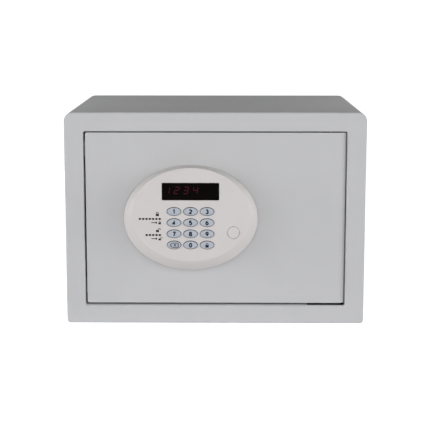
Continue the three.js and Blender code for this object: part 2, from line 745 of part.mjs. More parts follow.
function addLock() {
  const at = [override.x, 0, override.z];
  add(doorGroup, "lock_barrel", lockBarrel(), chrome, at);
  add(doorGroup, "lock_plug", lockPlug(), brass, at);
  add(doorGroup, "lock_cam", lockCam(), zinc, at);
}

// ---------- Bolt work ----------

// The rack's teeth point down at the gear: one is centred over it, and the others are whole pitches away.
function rackOutline() {
  const pitch = Math.PI * gear.module;
  const halfTooth = pitch / 4 - gear.backlash / 4;
  const slope = Math.tan(gear.pressureAngle);
  const atRoot = halfTooth + gear.dedendum * slope;
  const atTip = halfTooth - gear.addendum * slope;
  const rootZ = rack.pitchZ + gear.dedendum;
  const tipZ = rack.pitchZ - gear.addendum;
  const start = carriage.right - 0.5;
  const firstTooth = gear.x - pitch * Math.floor((gear.x - rack.left) / pitch);
  const points = [[start, rootZ]];
  for (let i = 0; i < rack.teeth; i++) {
    const x = firstTooth + i * pitch;
    points.push([x - atRoot, rootZ], [x - atTip, tipZ], [x + atTip, tipZ], [x + atRoot, rootZ]);
  }
  points.push([lug.left, rootZ], [lug.left, lug.bottom], [lug.right, lug.bottom], [lug.right, rack.top]);
  points.push([start, rack.top]);
  return polygon(points);
}

// The carriage: an upright bar for the two bolts, and an arm with the rack and the lug for the lock's cam.
function boltCarriage() {
  const { left, right, front, rear, bottom, top } = carriage;
  const bar = box(left, right, front, rear, bottom, top);
  const arm = slab(rackOutline(), rack.front, rack.rear);
  const holes = bolt.zs.map((z) => rod("x", [0, bolt.y, z], left - past, right + past, bolt.spigot + gap));
  return cut(join(bar, arm), ...holes);
}

// A round bolt with a riveted spigot through the carriage's bar.
function boltPin() {
  const { tip, rear, radius, spigot } = bolt;
  const neck = rear - gap;
  const rivet = carriage.right + gap;
  const profile = [[tip, radius - 1.5], [tip + 1.5, radius], [neck, radius], [neck, spigot], [rivet, spigot]];
  profile.push([rivet, spigot + 2], [rivet + 2.7, spigot + 2]);
  return turned("x", [0, bolt.y, 0], profile, 24);
}

// Half the angle that an involute tooth fills at a radius, narrowed for the backlash.
function halfToothAngle(radius) {
  const involute = (angle) => Math.tan(angle) - angle;
  const baseRadius = gear.pitchRadius * Math.cos(gear.pressureAngle);
  const pressureAngle = Math.acos(Math.min(1, baseRadius / radius));
  const atPitch = Math.PI / (2 * gear.teeth) - gear.backlash / (4 * gear.pitchRadius);
  return atPitch + involute(gear.pressureAngle) - involute(pressureAngle);
}

// The gear on the gearbox's shaft. A space, not a tooth, points up at the rack.
function driveGear() {
  const flank = [gear.pitchRadius - gear.dedendum, gear.pitchRadius, gear.pitchRadius + gear.addendum];
  const at = (radius, angle) => [radius * Math.cos(angle), radius * Math.sin(angle)];
  const points = [];
  for (let i = 0; i < gear.teeth; i++) {
    const middle = Math.PI / 2 + ((i + 0.5) * 2 * Math.PI) / gear.teeth;
    for (const radius of flank) points.push(at(radius, middle - halfToothAngle(radius)));
    for (const radius of flank.toReversed()) points.push(at(radius, middle + halfToothAngle(radius)));
  }
  const wheel = slab(polygon(points), rack.middleY - gear.width / 2, rack.middleY + gear.width / 2);
  return join(wheel, rod("y", [0, 0, 0], gearbox.rear - 6, rack.middleY + 5, 2));
}

function addBoltWork() {
  add(boltWorkGroup, "bolt_carriage", boltCarriage(), zinc);
  add(boltWorkGroup, "lower_bolt", boltPin(), chrome, [0, 0, bolt.lowerZ]);
  add(boltWorkGroup, "upper_bolt", boltPin(), chrome, [0, 0, bolt.upperZ]);
  add(boltWorkGroup, "drive_gear", driveGear(), brass, [gear.x, 0, gear.z]);
}

// ---------- Inside controls ----------

// The battery cover: a plate with two locating tongues and a finger scoop.
function batteryCover() {
  const { left, right, bottom, top, x } = batteryBox;
  const margin = 2;
  const rear = cover.rear + gap;
  const thickness = 2.2;
  const outline = roundedRectangle(left - margin, right + margin, bottom - margin, top + margin, 4);
  const tongue = (halfWidth, z) => box(x - halfWidth, x + halfWidth, cover.rear - 1.2, rear + 0.5, z, z + 2);
  const scoop = rod("x", [0, rear + thickness + 5, top - 8], x - 10, x + 10, 6);
  return cut(join(slab(outline, rear, rear + thickness), tongue(15, bottom + 5), tongue(6, top - 7)), scoop);
}

// The reset button: its flange sits behind the inner cover, and its stem reaches the switch.
function resetButton() {
  const { radius } = reset;
  const stem = 1.5;
  const flange = cover.rear - cover.sheet - gap;
  const profile = [[-108.8, stem], [-104, stem], [-104, radius], [flange - 2.2, radius]];
  profile.push([flange - 2.2, radius + 1.4], [flange, radius + 1.4]);
  profile.push([flange, radius], [cover.rear + 1, radius]);
  return turned("y", [0, 0, 0], profile, 12);
}

function addInsideControls() {
  add(doorGroup, "battery_cover", batteryCover(), blackPlastic);
  add(doorGroup, "reset_button", resetButton(), redPlastic, [reset.x, 0, reset.z]);
}

addBody();
addDoor();
addKeypad();
addLock();
addBoltWork();
addInsideControls();

export default safe;
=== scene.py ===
"""The looks of the in-room safe: smooth pieces around the CAD frame, materials, light and camera.

Metres, +Z up, the door faces -Y. Places and sizes come from the frame's boxes.
"""
import json
import math

import bmesh
import bpy
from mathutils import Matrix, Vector

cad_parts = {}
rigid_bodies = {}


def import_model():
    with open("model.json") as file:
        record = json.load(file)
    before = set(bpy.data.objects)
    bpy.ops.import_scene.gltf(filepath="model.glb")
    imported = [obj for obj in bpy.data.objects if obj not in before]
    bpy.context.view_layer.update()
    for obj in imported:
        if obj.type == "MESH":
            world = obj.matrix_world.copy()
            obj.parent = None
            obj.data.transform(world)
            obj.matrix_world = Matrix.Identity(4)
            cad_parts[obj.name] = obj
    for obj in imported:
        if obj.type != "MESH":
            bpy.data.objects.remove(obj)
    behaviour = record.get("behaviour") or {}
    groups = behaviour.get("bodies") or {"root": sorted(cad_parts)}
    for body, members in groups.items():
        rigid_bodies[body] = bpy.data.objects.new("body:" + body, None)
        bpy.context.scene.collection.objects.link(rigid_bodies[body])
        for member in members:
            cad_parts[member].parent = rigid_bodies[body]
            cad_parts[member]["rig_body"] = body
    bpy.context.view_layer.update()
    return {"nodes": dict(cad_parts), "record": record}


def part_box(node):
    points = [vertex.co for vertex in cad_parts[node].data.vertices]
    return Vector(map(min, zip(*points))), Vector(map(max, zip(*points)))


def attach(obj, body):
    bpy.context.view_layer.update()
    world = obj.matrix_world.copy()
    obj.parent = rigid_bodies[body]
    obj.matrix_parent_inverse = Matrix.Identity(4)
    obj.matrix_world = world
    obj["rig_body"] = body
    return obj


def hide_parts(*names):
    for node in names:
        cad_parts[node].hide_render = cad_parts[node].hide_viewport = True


MM = 0.001
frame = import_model()
slot_of = {part["node"]: part["material_slot"] for part in frame["record"]["subparts"]}

# ---------- Sizes that the boxes don't give ----------

SHEET = 2 * MM
FLANGE = 22.5 * MM
LIP_DEPTH = 10.5 * MM
TOP_RADIUS = 10.5 * MM
BOTTOM_RADIUS = 4 * MM
FRONT_BEND = 2.6 * MM
DOORWAY_RADIUS = 2 * MM
SIDE_BEND = 1.2 * MM
SILL_BEND = 3.2 * MM
REAR_BEND = 1.2 * MM
NOTCH = 44 * MM
FIXING_HOLE = 6 * MM
MAT_HOLE = 9 * MM
DOOR_THICKNESS = 5 * MM
DOOR_ROLL = (8.5 * MM, 4.6 * MM)
DOOR_ROLL_REACH = 0.8 * MM
DOOR_RAISED = 0.4 * MM
DOOR_TRIM = 0.5 * MM
DOOR_CORNER = 2.2 * MM
BARREL_HOLE = 10 * MM
LEAD_HOLE = 7 * MM
POST_RADIUS = 4 * MM
WALL = 2.5 * MM
COVER_SHEET = 1.5 * MM
FACE_CENTRE_Z = 133.3 * MM
FACE_HALF = (68.5 * MM, 54.8 * MM)
RIM_DEPTH = 10.5 * MM
KEY_ROWS = (("1", "2", "3"), ("4", "5", "6"), ("7", "8", "9"), ("clear", "0", "lock"))
KEY_HALF = (7.9 * MM, 4.6 * MM)
KEY_CLEARANCE = 0.55 * MM
# Depth below the key's front where the dark rubber starts, which partly serves as painted shade round the
# key.
KEY_RUBBER_SHADE_DEPTH = 0.7 * MM
DIGIT_HEIGHT = 5.7 * MM
DIGIT_STROKE = 1.45 * MM
LED_HALF = (2.5 * MM, 3.85 * MM)
LED_SLANT = 0.2
LED_BAR = 0.85 * MM
BOLT_RADIUS = 9 * MM


def corners(node):
    """A CAD node's box as (x0, x1, y0, y1, z0, z1)."""
    lo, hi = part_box(node)
    return lo.x, hi.x, lo.y, hi.y, lo.z, hi.z


def centre(node):
    """The middle of a CAD node's box."""
    lo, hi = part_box(node)
    return (lo + hi) / 2


def axis_through(node, axis):
    """The middle of a CAD node's box, moved to zero along `axis`."""
    point = centre(node)
    point["xyz".index(axis)] = 0
    return point


# ---------- Node materials ----------


class Shader:
    """A Principled material with short ways to add noise, mixes and bump."""

    def __init__(self, name, color, roughness, metallic=0.0, specular=0.5):
        self.material = bpy.data.materials.new(name)
        self.material.use_nodes = True
        self.nodes = self.material.node_tree.nodes
        self.links = self.material.node_tree.links
        self.bsdf = self.nodes["Principled BSDF"]
        self.set("Base Color", (*color, 1))
        self.set("Roughness", roughness)
        self.set("Metallic", metallic)
        self.set("Specular IOR Level", specular)
        self.place = self.nodes.new("ShaderNodeTexCoord").outputs["Object"]

    def set(self, socket, value):
        self.bsdf.inputs[socket].default_value = value

    def link(self, output, socket):
        self.links.new(output, self.bsdf.inputs[socket])

    def stretched(self, scale):
        node = self.nodes.new("ShaderNodeMapping")
        node.inputs["Scale"].default_value = scale
        self.links.new(self.place, node.inputs["Vector"])
        return node.outputs["Vector"]

    def noise(self, size, detail=2.0, along=(1, 1, 1)):
        """Noise whose grains are about `size` metres across, squeezed by `along`."""
        node = self.nodes.new("ShaderNodeTexNoise")
        node.inputs["Scale"].default_value = 1 / size
        node.inputs["Detail"].default_value = detail
        self.links.new(self.stretched(along), node.inputs["Vector"])
        return node.outputs["Fac"]

    def cells(self, size):
        node = self.nodes.new("ShaderNodeTexVoronoi")
        node.inputs["Scale"].default_value = 1 / size
        self.links.new(self.place, node.inputs["Vector"])
        return node.outputs["Distance"]

    def ramp(self, factor, low, high, start=0.3, end=0.7):
        node = self.nodes.new("ShaderNodeMapRange")
        for socket, value in zip(("From Min", "From Max", "To Min", "To Max"), (start, end, low, high)):
            node.inputs[socket].default_value = value
        self.links.new(factor, node.inputs["Value"])
        return node.outputs["Result"]

    def blend(self, factor, low, high, start=0.3, end=0.7):
        node = self.nodes.new("ShaderNodeValToRGB")
        node.color_ramp.elements[0].position = start
        node.color_ramp.elements[0].color = (*low, 1)
        node.color_ramp.elements[1].position = end
        node.color_ramp.elements[1].color = (*high, 1)
        self.links.new(factor, node.inputs["Fac"])
        return node.outputs["Color"]

    def bump(self, height, distance, strength=1.0):
        node = self.nodes.new("ShaderNodeBump")
        node.inputs["Strength"].default_value = strength
        node.inputs["Distance"].default_value = distance
        self.links.new(height, node.inputs["Height"])
        self.link(node.outputs["Normal"], "Normal")


def shade(color, factor):
    return tuple(min(1.0, channel * factor) for channel in color)


def powder_coat():
    """Light grey powder coat: fine orange peel over a faint cloudiness."""
    color = (0.536, 0.537, 0.546)
    s = Shader("powder_coat", color, 0.5, specular=0.35)
    s.link(s.blend(s.noise(60 * MM, 3), shade(color, 0.985), shade(color, 1.015)), "Base Color")
    s.link(s.ramp(s.noise(9 * MM, 3), 0.46, 0.56), "Roughness")
    s.bump(s.noise(0.9 * MM, 2), 0.02 * MM, 0.6)
    return s.material


def housing_plastic():
    """Warm light plastic with a fine spark-eroded grain."""
    color = (0.635, 0.605, 0.597)
    s = Shader("housing_plastic", color, 0.42, specular=0.4)
    s.link(s.blend(s.noise(45 * MM, 2), shade(color, 0.99), shade(color, 1.01)), "Base Color")
    s.link(s.ramp(s.noise(3 * MM, 4), 0.38, 0.47), "Roughness")
    s.bump(s.cells(0.35 * MM), 0.01 * MM, 0.4)
    return s.material


def key_plastic():
    """Blue-grey keys with slightly uneven tone and gloss."""
    color = (0.440, 0.475, 0.535)
    s = Shader("key_plastic", color, 0.38, specular=0.45)
    s.link(s.blend(s.noise(5 * MM, 2), shade(color, 0.97), shade(color, 1.03)), "Base Color")
    s.link(s.ramp(s.noise(2.5 * MM, 3), 0.32, 0.42), "Roughness")
    s.bump(s.noise(0.3 * MM, 2), 0.008 * MM, 0.4)
    return s.material


def display_lens():
    """Smoked window: almost black with a red cast, glossy, with faint wiping marks."""
    s = Shader("display_lens", (0.0035, 0.0025, 0.0025), 0.09, specular=0.03)
    s.link(s.ramp(s.noise(6 * MM, 4, (1, 1, 3)), 0.06, 0.14), "Roughness")
    s.link(s.blend(s.noise(12 * MM), (0.003, 0.0022, 0.0022), (0.0042, 0.0028, 0.0028)), "Base Color")
    return s.material


def lit_digit():
    """The red glow of the display's segments, a little uneven."""
    s = Shader("lit_digit", (0.012, 0.002, 0.003), 0.4, specular=0.1)
    s.link(s.blend(s.noise(1.2 * MM, 2), (0.040, 0.0016, 0.006), (0.066, 0.0026, 0.010)), "Emission Color")
    s.set("Emission Strength", 1.0)
    return s.material


def printed_ink(name, color):
    s = Shader(name, color, 0.5, specular=0.3)
    s.link(s.blend(s.noise(1.5 * MM, 3), shade(color, 0.85), shade(color, 1.15)), "Base Color")
    s.bump(s.noise(0.2 * MM, 2), 0.005 * MM, 0.5)
    return s.material


def zinc_steel():
    """Zinc-plated sheet: bluish grey with rolling marks and soft spangle."""
    color = (0.50, 0.52, 0.54)
    s = Shader("zinc_steel", color, 0.36, 0.92)
    s.link(s.blend(s.noise(7 * MM, 4), shade(color, 0.86), shade(color, 1.12)), "Base Color")
    s.link(s.ramp(s.noise(2 * MM, 4, (0.15, 1, 1)), 0.28, 0.46), "Roughness")
    s.bump(s.noise(0.6 * MM, 3, (0.06, 1, 1)), 0.01 * MM, 0.5)
    return s.material


def bright_steel():
    """Hard-plated bolts and lock barrel, with faint turning marks."""
    color = (0.66, 0.67, 0.69)
    s = Shader("bright_steel", color, 0.16, 1.0)
    s.link(s.blend(s.noise(10 * MM, 3), shade(color, 0.94), shade(color, 1.05)), "Base Color")
    s.link(s.ramp(s.noise(1.2 * MM, 3, (4, 1, 1)), 0.11, 0.24), "Roughness")
    s.bump(s.noise(0.5 * MM, 2, (6, 0.3, 0.3)), 0.004 * MM, 0.4)
    return s.material


def black_plastic():
    color = (0.012, 0.012, 0.013)
    s = Shader("black_plastic", color, 0.48, specular=0.45)
    s.link(s.blend(s.noise(8 * MM, 3), shade(color, 0.8), shade(color, 1.5)), "Base Color")
    s.link(s.ramp(s.noise(2 * MM, 3), 0.4, 0.56), "Roughness")
    s.bump(s.cells(0.5 * MM), 0.015 * MM, 0.5)
    return s.material


def bumper_rubber():
    color = (0.014, 0.014, 0.014)
    s = Shader("bumper_rubber", color, 0.8, specular=0.3)
    s.link(s.blend(s.noise(3 * MM, 4), color, shade(color, 2.2)), "Base Color")
    s.link(s.ramp(s.noise(4 * MM, 3), 0.7, 0.9), "Roughness")
    s.bump(s.noise(0.5 * MM, 4), 0.03 * MM, 0.6)
    return s.material


def needle_felt():
    """Charcoal felt: tangled fibres in two directions and a soft sheen."""
    color = (0.030, 0.031, 0.034)
    s = Shader("needle_felt", color, 0.95, specular=0.1)
    fibres = s.noise(1.1 * MM, 6, (0.35, 1.4, 1))
    s.link(s.blend(fibres, shade(color, 0.55), shade(color, 2.0), 0.35, 0.65), "Base Color")
    s.set("Sheen Weight", 0.35)
    s.set("Sheen Roughness", 0.6)
    s.bump(s.noise(0.7 * MM, 6, (1.4, 0.4, 1)), 0.25 * MM, 0.8)
    return s.material


def circuit_board():
    """Green solder mask with paler traces."""
    color = (0.010, 0.085, 0.030)
    s = Shader("circuit_board", color, 0.35, specular=0.5)
    s.link(s.blend(s.cells(4 * MM), shade(color, 0.8), shade(color, 1.7), 0.45, 0.55), "Base Color")
    s.link(s.ramp(s.noise(3 * MM, 2), 0.28, 0.42), "Roughness")
    s.bump(s.cells(2 * MM), 0.03 * MM, 0.4)
    return s.material


def machined_brass():
    color = (0.52, 0.36, 0.12)
    s = Shader("machined_brass", color, 0.28, 1.0)
    s.link(s.blend(s.noise(5 * MM, 4), shade(color, 0.85), shade(color, 1.12)), "Base Color")
    s.link(s.ramp(s.noise(1 * MM, 3), 0.2, 0.36), "Roughness")
    s.bump(s.noise(0.4 * MM, 2), 0.006 * MM, 0.4)
    return s.material


def red_plastic():
    color = (0.42, 0.014, 0.010)
    s = Shader("red_plastic", color, 0.32, specular=0.5)
    s.link(s.blend(s.noise(3 * MM, 2), shade(color, 0.9), shade(color, 1.08)), "Base Color")
    s.link(s.ramp(s.noise(2 * MM, 3), 0.26, 0.4), "Roughness")
    s.bump(s.noise(0.4 * MM, 2), 0.008 * MM, 0.4)
    return s.material


def cell_jacket():
    """A plain dark cell jacket, faintly clouded."""
    s = Shader("cell_jacket", (0.03, 0.033, 0.04), 0.25, specular=0.5)
    s.link(s.blend(s.noise(20 * MM, 2), (0.022, 0.024, 0.030), (0.040, 0.044, 0.052)), "Base Color")
    s.link(s.ramp(s.noise(3 * MM, 3), 0.2, 0.32), "Roughness")
    s.bump(s.noise(1 * MM, 2), 0.01 * MM, 0.3)
    return s.material


MATERIALS = {
    "body_paint": powder_coat(),
    "housing_plastic": housing_plastic(),
    "key_plastic": key_plastic(),
    "display_lens": display_lens(),
    "zinc_steel": zinc_steel(),
    "chrome_steel": bright_steel(),
    "black_plastic": black_plastic(),
    "bumper_rubber": bumper_rubber(),
    "mat_felt": needle_felt(),
    "circuit_board": circuit_board(),
    "brass": machined_brass(),
    "red_plastic": red_plastic(),
    "cell_jacket": cell_jacket(),
}
KEY_INK = printed_ink("key_ink", (0.006, 0.008, 0.018))
PANEL_INK = printed_ink("panel_ink", (0.008, 0.008, 0.009))
LIT = lit_digit()

# ---------- Meshes ----------


def make(name, vertices, faces, material):
    """A mesh object whose faces point outwards."""
    mesh = bpy.data.meshes.new(name)
    mesh.from_pydata([tuple(v) for v in vertices], [], faces)
    work = bmesh.new()
    work.from_mesh(mesh)
    bmesh.ops.recalc_face_normals(work, faces=work.faces)
    work.to_mesh(mesh)
    work.free()
    mesh.materials.append(material)
    obj = bpy.data.objects.new(name, mesh)
    bpy.context.scene.collection.objects.link(obj)
    return obj


def settled(obj):
    """Applies the object's modifiers to its mesh."""
    bpy.context.view_layer.update()
    graph = bpy.context.evaluated_depsgraph_get()
    mesh = bpy.data.meshes.new_from_object(obj.evaluated_get(graph))
    obj.modifiers.clear()
    obj.data = mesh
    return obj


def smooth(obj, edge=0.3 * MM, angle=30, segments=3):
    """Rounds the sharp edges a little, and shades the rest smooth."""
    for polygon in obj.data.polygons:
        polygon.use_smooth = True
    if edge:
        bevel = obj.modifiers.new("edges", "BEVEL")
        bevel.limit_method = "ANGLE"
        bevel.angle_limit = math.radians(angle)
        bevel.width = edge
        bevel.segments = segments
        bevel.use_clamp_overlap = True
        bevel.harden_normals = True
    weighted = obj.modifiers.new("weighted", "WEIGHTED_NORMAL")
    weighted.keep_sharp = True
    return obj


def carve(obj, cutters, operation="DIFFERENCE"):
    """Cuts the cutters out of obj, or joins them to it, and deletes them."""
    for cutter in cutters:
        tool = obj.modifiers.new("carve", "BOOLEAN")
        tool.object = cutter
        tool.operation = operation
        tool.solver = "EXACT"
    settled(obj)
    for cutter in cutters:
        bpy.data.objects.remove(cutter)
    return obj


def loft(name, rings, material, loop=False):
    """A skin through rings with equal numbers of points: capped at both ends, or closed on itself."""
    count = len(rings[0])
    vertices = [point for ring in rings for point in ring]
    pairs = list(zip(range(len(rings)), range(1, len(rings))))
    if loop:
        pairs.append((len(rings) - 1, 0))
    faces = []
    for a, b in pairs:
        for i in range(count):
            j = (i + 1) % count
            faces.append((a * count + i, a * count + j, b * count + j, b * count + i))
    if not loop:
        faces.append(tuple(range(count)))
        faces.append(tuple(range((len(rings) - 1) * count, len(rings) * count)))
    return make(name, vertices, faces, material)


def box(name, x0, x1, y0, y1, z0, z1, material):
    """A block between two corners."""
    near = [(x0, y0, z0), (x1, y0, z0), (x1, y0, z1), (x0, y0, z1)]
    far = [(x, y1, z) for x, _, z in near]
    return loft(name, [near, far], material)


def quarter(steps):
    """(cos, sin) round a quarter turn."""
    turns = [math.pi / 2 * i / steps for i in range(steps + 1)]
    return [(math.cos(t), math.sin(t)) for t in turns]


def rectangle_ring(x0, x1, z0, z1, y, radius, top_radius=None, steps=8):
    """A rounded rectangle square to Y, anticlockwise from the bottom right as seen from the front."""
    top_radius = radius if top_radius is None else top_radius
    arcs = [
        (x1 - radius, z0 + radius, radius, -90),
        (x1 - top_radius, z1 - top_radius, top_radius, 0),
        (x0 + top_radius, z1 - top_radius, top_radius, 90),
        (x0 + radius, z0 + radius, radius, 180),
    ]
    ring = []
    for cx, cz, r, start in arcs:
        for i in range(steps + 1):
            turn = math.radians(start + 90 * i / steps)
            ring.append((cx + r * math.cos(turn), y, cz + r * math.sin(turn)))
    return ring


def ellipse_ring(x, z, a, b, y, count=128):
    """An ellipse square to Y, with half axes a across and b up."""
    turns = [2 * math.pi * i / count for i in range(count)]
    return [(x + a * math.cos(t), y, z + b * math.sin(t)) for t in turns]


def along(axis, point, distance, radius, turn):
    """A point `distance` along an axis through `point`, `radius` off it."""
    c, s = radius * math.cos(turn), radius * math.sin(turn)
    offset = {"x": (distance, c, s), "y": (s, distance, c), "z": (c, s, distance)}[axis]
    return Vector(point) + Vector(offset)


def lathe(name, axis, point, profile, material, count=48):
    """A turned solid about an axis through `point`. The profile holds (distance, radius) pairs."""
    turns = [2 * math.pi * i / count for i in range(count)]
    rings = [[along(axis, point, d, r, t) for t in turns] for d, r in profile]
    return loft(name, rings, material)


def drill(node, axis, start, end, radius, material, count=48):
    """A round cutter on the axis through a CAD node's middle."""
    return lathe("cut", axis, axis_through(node, axis), [(start, radius), (end, radius)], material, count)


def join(name, pieces):
    """Joins pieces into one object named `name`."""
    work = bmesh.new()
    for piece in pieces:
        work.from_mesh(piece.data)
    mesh = bpy.data.meshes.new(name)
    work.to_mesh(mesh)
    work.free()
    mesh.materials.append(pieces[0].data.materials[0])
    for piece in pieces:
        bpy.data.objects.remove(piece)
    obj = bpy.data.objects.new(name, mesh)
    bpy.context.scene.collection.objects.link(obj)
    return obj


def stands_for(piece, node):
    """The piece takes a CAD node's place: its body and its visibility."""
    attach(piece, frame["nodes"][node]["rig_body"])
    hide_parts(node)
    return piece


def decorates(piece, node):
    """The piece goes with a CAD node and keeps it shown."""
    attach(piece, frame["nodes"][node]["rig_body"])
    return piece


# ---------- Body ----------


def shell_rings():
    """Rings round the folded sheet: along its outside, through the doorway and back along its inside."""
    x0, x1, y0, y1, z0, z1 = corners("body_shell")

    def outer(inset, y):
        radii = (BOTTOM_RADIUS - inset, TOP_RADIUS - inset)
        return rectangle_ring(x0 + inset, x1 - inset, z0 + inset, z1 - inset, y, *radii)

    def doorway(grow, y, sill=None):
        inset = FLANGE - grow
        low = z0 + FLANGE - (grow if sill is None else sill)
        return rectangle_ring(x0 + inset, x1 - inset, low, z1 - inset, y, DOORWAY_RADIUS + grow)

    lip = y0 + LIP_DEPTH
    rings = [outer(REAR_BEND * (1 - c), y1 - REAR_BEND * (1 - s)) for c, s in reversed(quarter(4))]
    for c, s in quarter(6):
        rings.append(outer(FRONT_BEND * (1 - c), y0 + FRONT_BEND * (1 - s)))
    for c, s in quarter(6):
        rings.append(doorway(SIDE_BEND * (1 - s), y0 + SILL_BEND * (1 - c), SILL_BEND * (1 - s)))
    rings += [doorway(0, lip), doorway(SHEET, lip), doorway(SHEET, y0 + SHEET)]
    rings += [outer(SHEET, y0 + SHEET), outer(SHEET, y1)]
    return rings


def body_shell():
    """The folded body, notched behind the doorway for the hinges and drilled for the floor fixings."""
    _, x1, y0, _, z0, z1 = corners("body_shell")
    material = MATERIALS["body_paint"]
    shell = loft("shell", shell_rings(), material, loop=True)
    right = x1 - FLANGE
    cutters = []
    for z in (z0 + FLANGE - SHEET, z1 - FLANGE):
        notch = (right - NOTCH, right, y0 + SHEET, y0 + LIP_DEPTH + MM, z - MM, z + SHEET + MM)
        cutters.append(box("cut", *notch, material))
    for side in ("left", "right"):
        cutters.append(drill(f"base_hole_plug_{side}", "z", -MM, SHEET + MM, FIXING_HOLE, material))
    stands_for(smooth(carve(shell, cutters), 0.25 * MM), "body_shell")


def back_panel():
    """The welded back: a flat plate with two fixing holes."""
    x0, x1, y0, y1, z0, z1 = corners("back_panel")
    material = MATERIALS["body_paint"]
    radii = (BOTTOM_RADIUS - SHEET, TOP_RADIUS - SHEET)
    panel = loft("rear_plate", [rectangle_ring(x0, x1, z0, z1, y, *radii) for y in (y0, y1)], material)
    cutters = []
    for side in ("left", "right"):
        cutters.append(drill(f"back_hole_plug_{side}", "y", y0 - MM, y1 + MM, FIXING_HOLE, material))
    stands_for(smooth(carve(panel, cutters), 0.4 * MM), "back_panel")


def floor_mat():
    """A felt mat with softened edges and a wide hole round each floor fixing."""
    x0, x1, y0, y1, z0, z1 = corners("floor_mat")
    material = MATERIALS["mat_felt"]
    corner = 9 * MM
    soft = 1.2 * MM
    flat = [(x, z) for x, _, z in rectangle_ring(x0, x1, y0, y1, 0, corner)]
    middle_x, middle_y = (x0 + x1) / 2, (y0 + y1) / 2

    def outline(scale, z):
        return [(middle_x + (x - middle_x) * scale, middle_y + (y - middle_y) * scale, z) for x, y in flat]

    rings = [outline(1, z0)]
    for c, s in quarter(4):
        rings.append(outline(1 - soft * (1 - c) / (x1 - middle_x), z1 - soft + soft * s))
    mat = loft("felt_mat", rings, material)
    holes = []
    for side in ("left", "right"):
        holes.append(drill(f"base_hole_plug_{side}", "z", 0, z1 + MM, MAT_HOLE, material))
    stands_for(smooth(carve(mat, holes), 0.4 * MM), "floor_mat")


def hole_plugs():
    """Domed blanking plugs, each with a moulded ring on its head."""
    material = MATERIALS["black_plastic"]
    for side in ("left", "right"):
        for wall, axis, outwards in (("base", "z", -1), ("back", "y", 1)):
            node = f"{wall}_hole_plug_{side}"
            x0, x1, y0, y1, z0, z1 = corners(node)
            head = (x1 - x0) / 2
            inner = {"base": z1, "back": y0}[wall]
            stem_end = {"base": z0, "back": y1}[wall]
            under = inner + outwards * 1.5 * MM
            place = axis_through(node, axis)
            profile = [
                (inner, head * 0.2),
                (inner + outwards * 0.05 * MM, head * 0.55),
                (inner + outwards * 0.35 * MM, head * 0.6),
                (inner + outwards * 0.2 * MM, head * 0.68),
                (inner + outwards * 0.9 * MM, head * 0.95),
                (inner + outwards * 1.3 * MM, head),
                (under, head * 0.98),
                (under, head - 2.4 * MM),
                (stem_end - outwards * 0.3 * MM, head - 2.4 * MM),
                (stem_end, head - 2.8 * MM),
                (stem_end, head - 4 * MM),
                (stem_end - outwards * 1.2 * MM, head - 4.6 * MM),
            ]
            stands_for(smooth(lathe(node + "_cap", axis, place, profile, material), 0), node)


def stop_pads():
    """Moulded bumpers with a crowned front."""
    for node in ("stop_pad_lower", "stop_pad_upper"):
        x0, x1, y0, y1, z0, z1 = corners(node)
        crown = 1.4 * MM
        radius = 1.2 * MM
        rings = [rectangle_ring(x0, x1, z0, z1, y1, radius)]
        for c, s in quarter(5):
            inset = crown * (1 - c)
            sides = (x0 + inset, x1 - inset, z0 + inset, z1 - inset)
            rings.append(rectangle_ring(*sides, y0 + crown * (1 - s), radius))
        pad = loft(node + "_bumper", rings, MATERIALS["bumper_rubber"])
        stands_for(smooth(pad, 0), node)


def hinge_pins():
    """Steel pins with a chamfered end, each through a spacer between its bracket and the door; the spacer is
    black partly as a plastic washer and partly as painted shade in the hinge slot.
    """
    for side, up in (("lower", 1), ("upper", -1)):
        node = f"{side}_hinge_pin"
        *_, z0, z1 = corners(node)
        place = axis_through(node, "z")
        start = z0 if up > 0 else z1
        length = (z1 - z0) / MM

        def turned(name, steps, material):
            profile = [(start + up * d * MM, r * MM) for d, r in steps]
            return smooth(lathe(name, "z", place, profile, material), 0.12 * MM)

        steps = [(0, 3.6), (0.5, 4.2), (3.0, 4.2), (3.0, 3.0), (length - 0.8, 3.0), (length, 2.3)]
        stands_for(turned(node + "_turned", steps, MATERIALS["zinc_steel"]), node)
        # The black spacer is partly a real plastic washer and partly painted shade: it darkens the hinge
        # slot seen through the gap under the door.
        steps = [(5.6, 3.05), (5.6, 4.7), (5.9, 5.0), (13.7, 5.0), (14.0, 4.7), (14.0, 3.05)]
        spacer = turned(f"{side}_hinge_spacer", steps, MATERIALS["black_plastic"])
        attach(spacer, frame["nodes"][node]["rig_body"])


# ---------- Door ----------


def door_plate():
    """The door: its hinge edge is rolled back, and its other edges are broken by a small radius."""
    x0, x1, y0, y1, z0, z1 = corners("door_plate")
    material = MATERIALS["body_paint"]
    across, deep = DOOR_ROLL
    x0 += DOOR_TRIM
    x1 += DOOR_ROLL_REACH
    z0 += DOOR_RAISED + DOOR_TRIM
    z1 += DOOR_RAISED
    rear = y0 + DOOR_THICKNESS
    rolled = [(x1 - across + across * c, y0 + deep - deep * s) for c, s in reversed(quarter(14))]

    def section(inset, z):
        outline = [(x0 + inset, y0), *rolled, (x1, rear), (x0 + inset, rear)]
        return [(x, y, z) for x, y in outline]

    corner = [(DOOR_CORNER * (1 - c), DOOR_CORNER * (1 - s)) for c, s in quarter(6)]
    rings = [section(inset, z0 + depth) for inset, depth in reversed(corner)]
    rings += [section(inset, z1 - depth) for inset, depth in corner]
    plate = loft("door_panel", rings, material)
    smooth(plate, 0.6 * MM, 40, 4)
    settled(plate)
    holes = (("lock_barrel", BARREL_HOLE), ("keypad_lead", LEAD_HOLE))
    carve(plate, [drill(node, "y", y0 - MM, rear + MM, radius, material) for node, radius in holes])
    post = [(rear - MM, POST_RADIUS), (y1, POST_RADIUS)]
    places = [axis_through(f"cover_screw_{i}", "y") for i in range(1, 5)]
    carve(plate, [lathe("post", "y", place, post, material, 24) for place in places], "UNION")
    stands_for(smooth(plate, 0), "door_plate")


